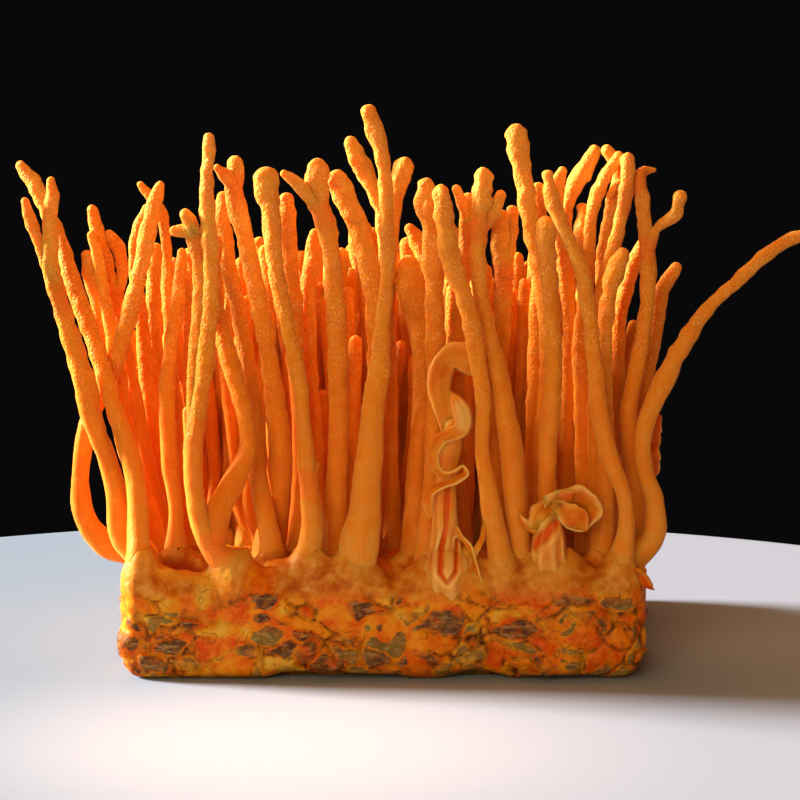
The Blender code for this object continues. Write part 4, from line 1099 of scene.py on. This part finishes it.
def ribbon_skin():
    """The same flesh grown as thin curled ribbons, soft and moist.

    Its faces are satin, orange to tan in blotches 3.2 mm wide. Its edges are thin enough for light
    to pass, and that glow is painted on them in cream. The inside of a split is raw red-orange
    flesh.
    """
    material, node = start_material("cordyceps_ribbon_skin", 0.45, 0.6, 2.0)
    place = node("TexCoord", (), "Object")
    blotches = node("TexNoise", {"Vector": place, "Scale": 1 / (3.2 * MM), "Detail": 3.0})
    colour = node("ValToRGB", (blotches,), stops=(
        (0.3, "#CC5A06"), (0.5, "#D27812"), (0.7, "#D68C26")))
    # Over the blotches: the pale bulb, raw flesh in splits, and the edge share's cream, a painted
    # glow
    colour = layered(node, colour, (
        (node("Attribute", (), "Fac", attribute_name=name), over)
        for name, over in (("foot", "#DCA452"), ("split", "#D45206"), ("edge", "#E8BC6A"))))
    wrinkles = node("TexNoise", {"Vector": place, "Scale": 1 / (0.7 * MM), "Detail": 3.0})
    bump = node("Bump", {"Height": wrinkles, "Strength": 0.3, "Distance": 0.2 * MM})
    return finished(material, {"Base Color": colour, "Normal": bump})


def block_skin():
    """Cooked grain, grown through and bound into a cake by mycelium.

    The mycelium is a moist felt in orange, yellow and red-orange patches. Where it is thin the
    kernels show through, brown to olive and fibrous, duller and rougher than the felt. Thin brown
    lines part the patches, and the creases between them are painted dark as shade. On top a
    leathery tan skin covers it, cream where it climbs the feet, with hollows painted red-brown as
    shade and pinholes painted dark as the shade inside them.
    """
    material, node = start_material("mycelium_on_grain", 0.48, 0.35, 1.4)
    place = node("TexCoord", (), "Object")
    grain, tone, crease, skin, cream_foot, hollow_and_painted_shade, web = (
        node("Attribute", (), "Fac", attribute_name=name)
        for name in ("grain", "tone", "crease", "skin", "cream_foot", "hollow_and_painted_shade", "web"))
    pattern = patterns(node, place, (
        ("patches", 3.0, 4.0, 0.3, 0.7, -0.28, 0.28),
        ("veins", 1.1, 5.0, 0.47, 0.53, 0.0, 1.0),
        ("stains", 1.3, 4.0, 0.45, 0.7, 0.0, 0.7),
        ("ragged", 1.0, 4.0, 0.3, 0.7, -0.16, 0.16),
        ("film", 3.4, 3.0, 0.50, 0.66, 1.0, 0.3),
        ("broken", 4.5, 2.0, 0.42, 0.6, 0.0, 0.65),
        ("crease_shade_breakup", 1.4, 3.0, 0.35, 0.65, 0.3, 1.0),
        ("cream", 2.6, 2.0, 0.4, 0.65, 0.0, 1.0),
        ("holes", 0.8, 2.0, 0.7, 0.76, 0.0, 1.0),
    ))
    swirl, tan, fine = (
        node("TexNoise", {"Vector": place, "Scale": 1 / (size * MM), "Detail": detail})
        for size, detail in ((6.5, 2.5), (2.2, 4.0), (1.0, 5.0)))
    wander = node("Math", (tone, pattern["patches"]), operation="ADD")

    # The mycelium's felt, with paler veins.
    mycelium = node("ValToRGB", (wander,), stops=(
        (0.05, "#CA4802"), (0.2, "#CE5602"), (0.4, "#D46A04"), (0.62, "#D6800A"),
        (0.82, "#D49014"), (1.0, "#D0A038")))
    veins = node("Math", (pattern["veins"], 0.25), operation="MULTIPLY")
    mycelium = layered(node, mycelium, [(veins, "#DE9226")])

    # The kernels, stained orange and crossed by fibres.
    kernel = node("ValToRGB", (wander,), stops=(
        (0.1, "#50301C"), (0.3, "#624028"), (0.48, "#704E30"), (0.62, "#6E5A28"),
        (0.9, "#846A2E")))
    slanted = node("Mapping", {
        "Vector": place, "Rotation": (0.0, 0.5, 0.0), "Scale": (0.25, 1.0, 1.0)})
    fibres = patterns(node, slanted, (("fibres", 0.6, 3.0, 0.48, 0.7, 0.0, 0.6),))["fibres"]
    kernel = layered(node, kernel, ((pattern["stains"], "#A8661C"), (fibres, "#B08A58")))

    # Kernels show with ragged edges, through a film that thickens in places.
    ragged = node("Math", (grain, pattern["ragged"]), operation="ADD")
    shown = node("Math", (node("MapRange", (ragged, 0.38, 0.60), **SMOOTH), pattern["film"]),
                 operation="MULTIPLY")

    # Thin lines: where eleven times a slow noise is halfway between two whole numbers.
    turns = node("Math", (swirl, 11.0), operation="MULTIPLY")
    turns = node("Math", (turns,), operation="FRACT")
    turns = node("Math", (turns, 0.5), operation="SUBTRACT")
    turns = node("Math", (turns,), operation="ABSOLUTE")
    thin = node("MapRange", (turns, 0.02, 0.13, 1.0, 0.0), **SMOOTH)
    lines = node("Math", (thin, pattern["broken"]), operation="MULTIPLY")

    # The creases are painted dark as shade, broken up by a noise
    crease_and_painted_shade = node("Math", (crease, pattern["crease_shade_breakup"]), operation="MULTIPLY")
    tan = node("ValToRGB", (tan,), stops=((0.35, "#A44A08"), (0.5, "#BC6A18"), (0.68, "#CE9244")))
    cream = node("Math", (cream_foot, web), operation="MAXIMUM")
    # Pinholes: small holes painted dark as the shade inside them, with no dip in the skin
    holes = node("Math", (pattern["holes"], node("Math", (skin, hollow_and_painted_shade), operation="SUBTRACT")),
                 operation="MULTIPLY")
    # The hollows' red-brown is painted shade
    colour = layered(node, mycelium, (
        (shown, kernel), (lines, "#7A4C14"), (crease_and_painted_shade, "#4A2410"), (skin, tan), (hollow_and_painted_shade, "#8E2E06"),
        (cream, pale_skin(node, pattern["cream"])), (holes, "#4A1A08")))

    sunk = node("Math", (crease_and_painted_shade, -0.6), operation="MULTIPLY")
    height = node("Math", (fine, sunk), operation="ADD")
    return finished(material, {
        "Base Color": colour,
        # As greys: roughness 0.45 on the felt and 0.6 on the kernels.
        "Roughness": layered(node, (0.45, 0.45, 0.45, 1), [(grain, (0.6, 0.6, 0.6, 1))]),
        "Normal": node("Bump", {"Height": height, "Strength": 0.5, "Distance": 0.35 * MM}),
    })


def floor_finish():
    """A pale satin laminate: pressed smooth, so it has no texture and takes soft shadows.

    Its colour is painted light: a painted shade leaves it blue grey at the left and paler at the
    right, and a painted pool of light makes it palest before the bunch.
    """
    material, node = start_material("pale_table_top", 0.55, 0.0, 1.0)
    place = node("TexCoord", (), "Object")
    painted_light_centre = tuple(value * MM for value in FLOOR_PAINTED_LIGHT_CENTRE) + (0.0,)
    across = node("SeparateXYZ", (place,))
    away = node("VectorMath", (place, painted_light_centre), "Value", operation="DISTANCE")
    left, right = FLOOR_PAINTED_SHADE_SPAN
    near, far = FLOOR_PAINTED_LIGHT_REACH
    # Painted shade from a blue grey left to a paler right, then a painted pool of light before the
    # bunch
    return finished(material, {"Base Color": layered(node, "#7B90A8", (
        (node("MapRange", (across, left * MM, right * MM), **SMOOTH), "#98A5BB"),
        (node("MapRange", (away, near * MM, far * MM, 1.0, 0.0), **SMOOTH), "#B3BACA")))})


# ---- pieces


def fine_line(points, on_block):
    """A stem's centre line for its skin: its solid's, with the foot sunk in the block's skin."""
    if not on_block:
        return points.copy()
    x, y, _, radius = points[0]
    skin = block_top(x, y)
    foot = [(x, y, skin - FOOT_DEPTH, radius), (x, y, skin + FOOT_COLLAR, radius)]
    return np.vstack([foot, points[1:]])


def look_of(name, number, points, on_block):
    """How pale a stem's foot is and how far up that reaches, both most in front, and its tone."""
    front = float(eased(-points[0, 1], 12.0, 32.0))
    tone = float(hashed(np.array([number, 3, 1]), 2))
    pale = FOOT_PALE.get(name, 0.25 + 0.6 * front) if on_block else 0.0
    return {"pale": pale, "pale_length": PALE_REACH.get(name, 7.0 + 13.0 * front), "tone": tone}


def fine_tuft_stems(x, depth, height):
    """Thin stems round a tuft's four: each foot a golden turn on and a little farther out.

    Their tips end below the tuft's middle one, each at its own height, and every stem sways a
    little.
    """
    y = depth - BLOCK_DEPTH / 2
    lean = np.array([TUFT_FAN * x, TUFT_FAN * max(y, 0.0)])
    limit = np.array([BLOCK_WIDTH, BLOCK_DEPTH]) / 2 - FINE_FOOT_MARGIN
    stems = []
    for k in range(FINE_STEMS):
        turn = x + GOLDEN_TURN * k
        away = np.array([math.cos(turn), math.sin(turn)])
        foot = np.clip(np.array([x, y]) + away * (3.2 + 0.5 * k), -limit, limit)
        tip = height - 5.0 - 2.1 * ((k * 5) % FINE_STEMS)
        sway = 1.2 * np.array([math.sin(3 * turn), math.cos(2 * turn)])
        stems.append(np.array([
            (*foot, BLOCK_HEIGHT, 1.6),
            (*(foot + 0.3 * lean + sway), 0.42 * tip, 1.25),
            (*(foot + 0.6 * lean + 0.6 * away - 0.5 * sway), 0.72 * tip, 1.15),
            (*(foot + lean + 1.6 * away), tip, 1.05),
        ]))
    return stems


def ribbon(points, seed, crumple):
    """A flat band along a centre line, its half width the radius, with rolled edges.

    Its section is (cos a, ratio sin a (1 + EDGE_ROLL cos^4 a)), so it is thickest just inside each
    edge, and it turns about its line by the twist. The points give twist and ratio after the
    radius. Shallow folds, BAND_FOLD cos(9 cos a) sin^2 a, run along each face, and noise ruffles
    it and crumples it by crumple mm.
    """
    rings = smooth_line(points[:, :4], BAND_TUBE[1])
    share = np.linspace(0.0, 1.0, len(rings))
    given = reach_along(points[:, :3])
    given /= given[-1]
    twist = np.radians(np.interp(share, given, points[:, 4]))
    ratio = np.interp(share, given, points[:, 5])
    uneven = 0.5 * crumple * noise(rings[:, :3], 2.2, seed + 8) * eased(1 - share, 0.0, 0.1)
    rings[:, 3] *= (0.35 + 0.65 * eased(share, 0.0, 0.05)) * (1 + uneven)
    rings = rounded_tip(rings)
    twist, ratio = (np.pad(values, (0, CAP_RINGS), mode="edge") for values in (twist, ratio))
    skin, way, angle = swept(rings, BAND_TUBE[0], ratio, twist)
    ruffle = 0.16 * noise(skin, 1.9, seed) + 0.25 * noise(skin, 4.0, seed + 1)
    folds = BAND_FOLD * np.cos(9 * np.cos(angle)) * np.sin(angle) ** 2
    skin = skin + way * (0.8 * ruffle + rings[:, 3:] * folds[None, :])[..., None]
    crumpled = noise_push(skin, 2.4, seed + 2) + 0.4 * noise_push(skin, 1.1, seed + 5)
    skin = skin + crumple * crumpled * np.array([0.6, 1.0, 0.6])
    # The edge number gives the band's thin edges a painted glow of light through them, more on
    # thin bands
    thinness = np.clip(1.4 - 1.4 * ratio, 0.2, 1.0)[:, None]
    numbers = dict.fromkeys(("foot", "split", "rise", "tone", "joint"), np.zeros(skin.shape[:2]))
    return skin, {"edge": np.abs(np.cos(angle))[None, :] ** 6 * thinness, **numbers}


def carried_band(band, depth, shift):
    """A band read on the front plane, carried to its own depth and moved with its stem."""
    rows = []
    for x, z, half_width, nearness, twist, ratio in band:
        place = np.array(seen_at(x, z, half_width, depth - nearness))
        place[:3] += shift
        rows.append((*place, twist, ratio))
    return np.array(rows)


def gap_to_line(points, start, end):
    """Distance from each point's x and z to a line's nearest place."""
    flat = points[..., [0, 2]] - np.array(start)
    step = np.array(end) - np.array(start)
    along = np.clip(flat @ step / (step @ step), 0.0, 1.0)
    return np.linalg.norm(flat - along[..., None] * step, axis=-1)


def split_stalk(line, seed, look, splits, shift):
    """A thick stalk with folds at its foot and splits in its front skin.

    The radius is multiplied by 1 + STALK_FOLD_DEPTH cos(STALK_FOLDS a) exp(-distance from 3 mm
    above the block / 5 mm). Inside a split the front skin goes back by SPLIT_DEPTH, and a pale lip
    stands LIP_HEIGHT out round it.
    """
    points, numbers = fleshy_tube(line, STALK_TUBE, look, seed, True)
    centre = points.mean(axis=1, keepdims=True)
    angle = np.linspace(0, 2 * math.pi, points.shape[1], endpoint=False)
    fade = np.exp(-np.abs(points[..., 2] - BLOCK_HEIGHT - 3.0) / 5.0)
    folds = np.cos(STALK_FOLDS * angle + 0.6 * np.sin(3 * angle + seed))[None, :]
    points = centre + (points - centre) * (1 + STALK_FOLD_DEPTH * folds * fade)[..., None]
    facing = eased(-np.sin(angle), -0.1, 0.4)[None, :]
    share = np.full(points.shape[:2], 9.0)
    for start, end, half_width in splits:
        share = np.minimum(share, gap_to_line(points - shift, start, end) / half_width)
    share = share + 0.25 * noise(points, 1.8, seed + 9)
    inside = (1 - eased(share, 0.3, 1.1)) * facing
    broken = eased(noise(points, 3.0, seed + 10), -0.5, 0.5)
    lip = np.exp(-((share - 1.6) / 0.5) ** 2) * facing * broken
    points[..., 1] += SPLIT_DEPTH * inside - LIP_HEIGHT * lip
    numbers["split"] = inside
    # The lip takes the edge cream, and so do the fold crests, there as a painted highlight
    numbers["edge"] = np.maximum(0.8 * lip, 0.35 * eased(folds, 0.2, 1.0) * fade)
    # The grooves between folds keep less of the foot's cream: painted shade
    numbers["foot"] = numbers["foot"] * (0.5 + 0.5 * eased(folds, -0.8, 0.6))
    return points, numbers


def skirted(line, forward):
    """Widens a stalk's foot as a trumpet's bell that stands forward mm before it."""
    x, y, skin, radius = line[1]
    hem = np.array([
        (x, y + 1.0, skin - 6.0, 0.6 * radius),
        (x, y - forward, skin - 3.6, 0.96 * radius),
        (x + 0.4 * (line[2, 0] - x), y - forward, skin - 1.3, 1.02 * radius),
    ])
    return np.vstack([hem, line[2:]])


def ribboned_stem(name, number, line, look, shift):
    """The grids of a stem that is partly curled ribbon: its stalk, and each of its bands."""
    keep = [0, 1] + [k + 1 for k in STALK_POINTS[name] if k > 0]
    stalk = skirted(line[keep], SKIRT_FORWARD[name])
    grids = [split_stalk(stalk, number, look, SPLITS[name], shift)]
    for k, band in enumerate(BANDS[name]):
        path = carried_band(band, BAND_DEPTH[name], shift)
        skin, numbers = ribbon(path, number + k, CRUMPLE[name])
        numbers["split"] = numbers["split"] + REDDENED.get(name, 0.0)
        if name in PALE_BULB:
            away = gap_to_line(skin - shift, *PALE_BULB[name])
            numbers["foot"] = np.exp(-(away / PALE_BULB_RADIUS) ** 4)
        grids.append((skin, numbers))
    return grids


def mark_joint(grids, start):
    """Raises the joint number to 1 round a branch's start, fading out JOINT_FADE beyond it."""
    for skin, numbers in grids:
        gap = np.linalg.norm(skin - start[:3], axis=-1) - start[3]
        numbers["joint"] = np.maximum(numbers["joint"], 1 - eased(gap, 0.3, JOINT_FADE))


def build_stems(materials):
    """One piece for each node of the frame that is a stem or a tuft."""
    unmoved = {}
    for name, points, _ in all_stems():
        unmoved.setdefault(name, points.copy())
    stems = spread_stems(all_stems())
    grids = {}
    for number, (name, points, on_block) in enumerate(stems):
        look = look_of(name, number, points, on_block)
        line = fine_line(points, on_block)
        if name not in STALK_POINTS:
            fineness = TUFT_TUBE if name.startswith("back_tuft") else FRONT_TUBE
            tube = fleshy_tube(line, fineness, look, number, on_block)
            grids.setdefault(name, []).append(tube)
        elif on_block:
            shift = (points[:, :3] - unmoved[name][:, :3]).mean(axis=0)
            grids[name] = ribboned_stem(name, number, line, look, shift)
    for number, tuft in enumerate(TUFTS, 1):
        name = "back_tuft_%02d" % number
        for seed, points in enumerate(fine_tuft_stems(*tuft), 100 * number):
            line, look = fine_line(points, True), look_of(name, seed, points, True)
            grids[name].append(fleshy_tube(line, FINE_TUBE, look, seed, True))
    for name, points, on_block in stems:
        if not on_block and name not in STALK_POINTS:
            mark_joint(grids[name], points[0])
    for name, parts in grids.items():
        kind = "ribbon" if name in STALK_POINTS else "club"
        add_piece(name + "_skin", parts, materials[kind], [name])
    return stems


def build_block(stems, materials):
    """The block's skin, with the flap of skin at its right corner."""
    grid = block_grid(block_feet(stems))
    flap, numbers = ribbon(carried_band(CORNER_FLAP, CORNER_FLAP_DEPTH, 0.0), 7, 0.6)
    look = {name: np.zeros(flap.shape[:2]) for name in grid[1]}
    # The flap's thin edges take the web's cream as a painted glow
    look["web"] = 0.7 * numbers["edge"]
    grids = [grid, (flap, look)]
    add_piece("grain_block_skin", grids, materials["block"], ["grain_block"])


# ---- stage


def build_floor():
    """A round pale table top, its far edge 94 mm behind the block.

    A profile of (radius, height) turned about its middle: flat underneath, a bevel of FLOOR_EDGE
    at its lower edge, a quarter circle of FLOOR_EDGE at its upper one, and flat on top.
    """
    flat = FLOOR_RADIUS - FLOOR_EDGE
    profile = [(1.0, -FLOOR_THICKNESS), (flat, -FLOOR_THICKNESS),
               (FLOOR_RADIUS, FLOOR_EDGE - FLOOR_THICKNESS)]
    profile += [(flat + FLOOR_EDGE * math.cos(a), FLOOR_EDGE * (math.sin(a) - 1))
                for a in np.linspace(0.0, math.pi / 2, 7)]
    profile += [(flat - FLOOR_EDGE, 0.0), (1.0, 0.0)]
    radius, height = np.array(profile).T[:, :, None]
    turn = np.linspace(0, 2 * math.pi, 256, endpoint=False)
    points = np.stack([FLOOR_CENTRE[0] + radius * np.cos(turn),
                       FLOOR_CENTRE[1] + radius * np.sin(turn), height + 0 * turn], axis=-1)
    mesh_object("table_top", [(points, {})], floor_finish())


def add_lamp(name, place, size, power, colour):
    """A soft square lamp turned to the middle of the bunch: place and size in m, power in W."""
    light = bpy.data.lights.new(name, "AREA")
    light.size = size
    light.energy = power
    light.color = linear(colour)[:3]
    lamp = bpy.data.objects.new(name, light)
    lamp.location = place
    way = Vector(LAMP_TARGET) - Vector(place)
    lamp.rotation_euler = way.to_track_quat("-Z", "Y").to_euler()
    bpy.context.scene.collection.objects.link(lamp)


def build_light():
    """A pale key from the left, 20 degrees up and a little behind, and three weak warm fills."""
    add_lamp("key", (-2.0, 0.44, 0.81), 0.55, 254.0, "#FFF3E4")
    add_lamp("front_fill", (-0.20, -0.80, 0.30), 0.5, 4.3, "#FFDCA4")
    add_lamp("top_fill", (-0.1, 0.1, 0.8), 0.5, 3.2, "#FFB070")
    add_lamp("right_fill", (0.55, -0.12, 0.12), 0.3, 0.55, "#FFA868")
    world = bpy.data.worlds.new("studio")
    world.use_nodes = True
    shade = world.node_tree.nodes["Background"]
    shade.inputs["Color"].default_value = linear("#1E1E20")
    shade.inputs["Strength"].default_value = 0.21
    bpy.context.scene.world = world
    bpy.context.scene.view_settings.view_transform = "Standard"


def build_camera():
    """The photograph's view: just above the highest tips, tilted CAMERA_TILT degrees down."""
    camera = bpy.data.cameras.new("camera")
    camera.lens = LENS
    camera.sensor_width = SENSOR
    eye = bpy.data.objects.new("camera", camera)
    eye.location = (EYE_X * MM, -(EYE_TO_FRONT + BLOCK_DEPTH / 2) * MM, EYE_Z * MM)
    eye.rotation_euler = (math.radians(90 - CAMERA_TILT), 0.0, 0.0)
    bpy.context.scene.collection.objects.link(eye)
    bpy.context.scene.camera = eye


def main():
    """Builds every piece on the loaded frame, then the stage."""
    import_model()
    materials = {"club": club_skin(), "ribbon": ribbon_skin(), "block": block_skin()}
    stems = build_stems(materials)
    build_block(stems, materials)
    build_floor()
    build_light()
    build_camera()


main()
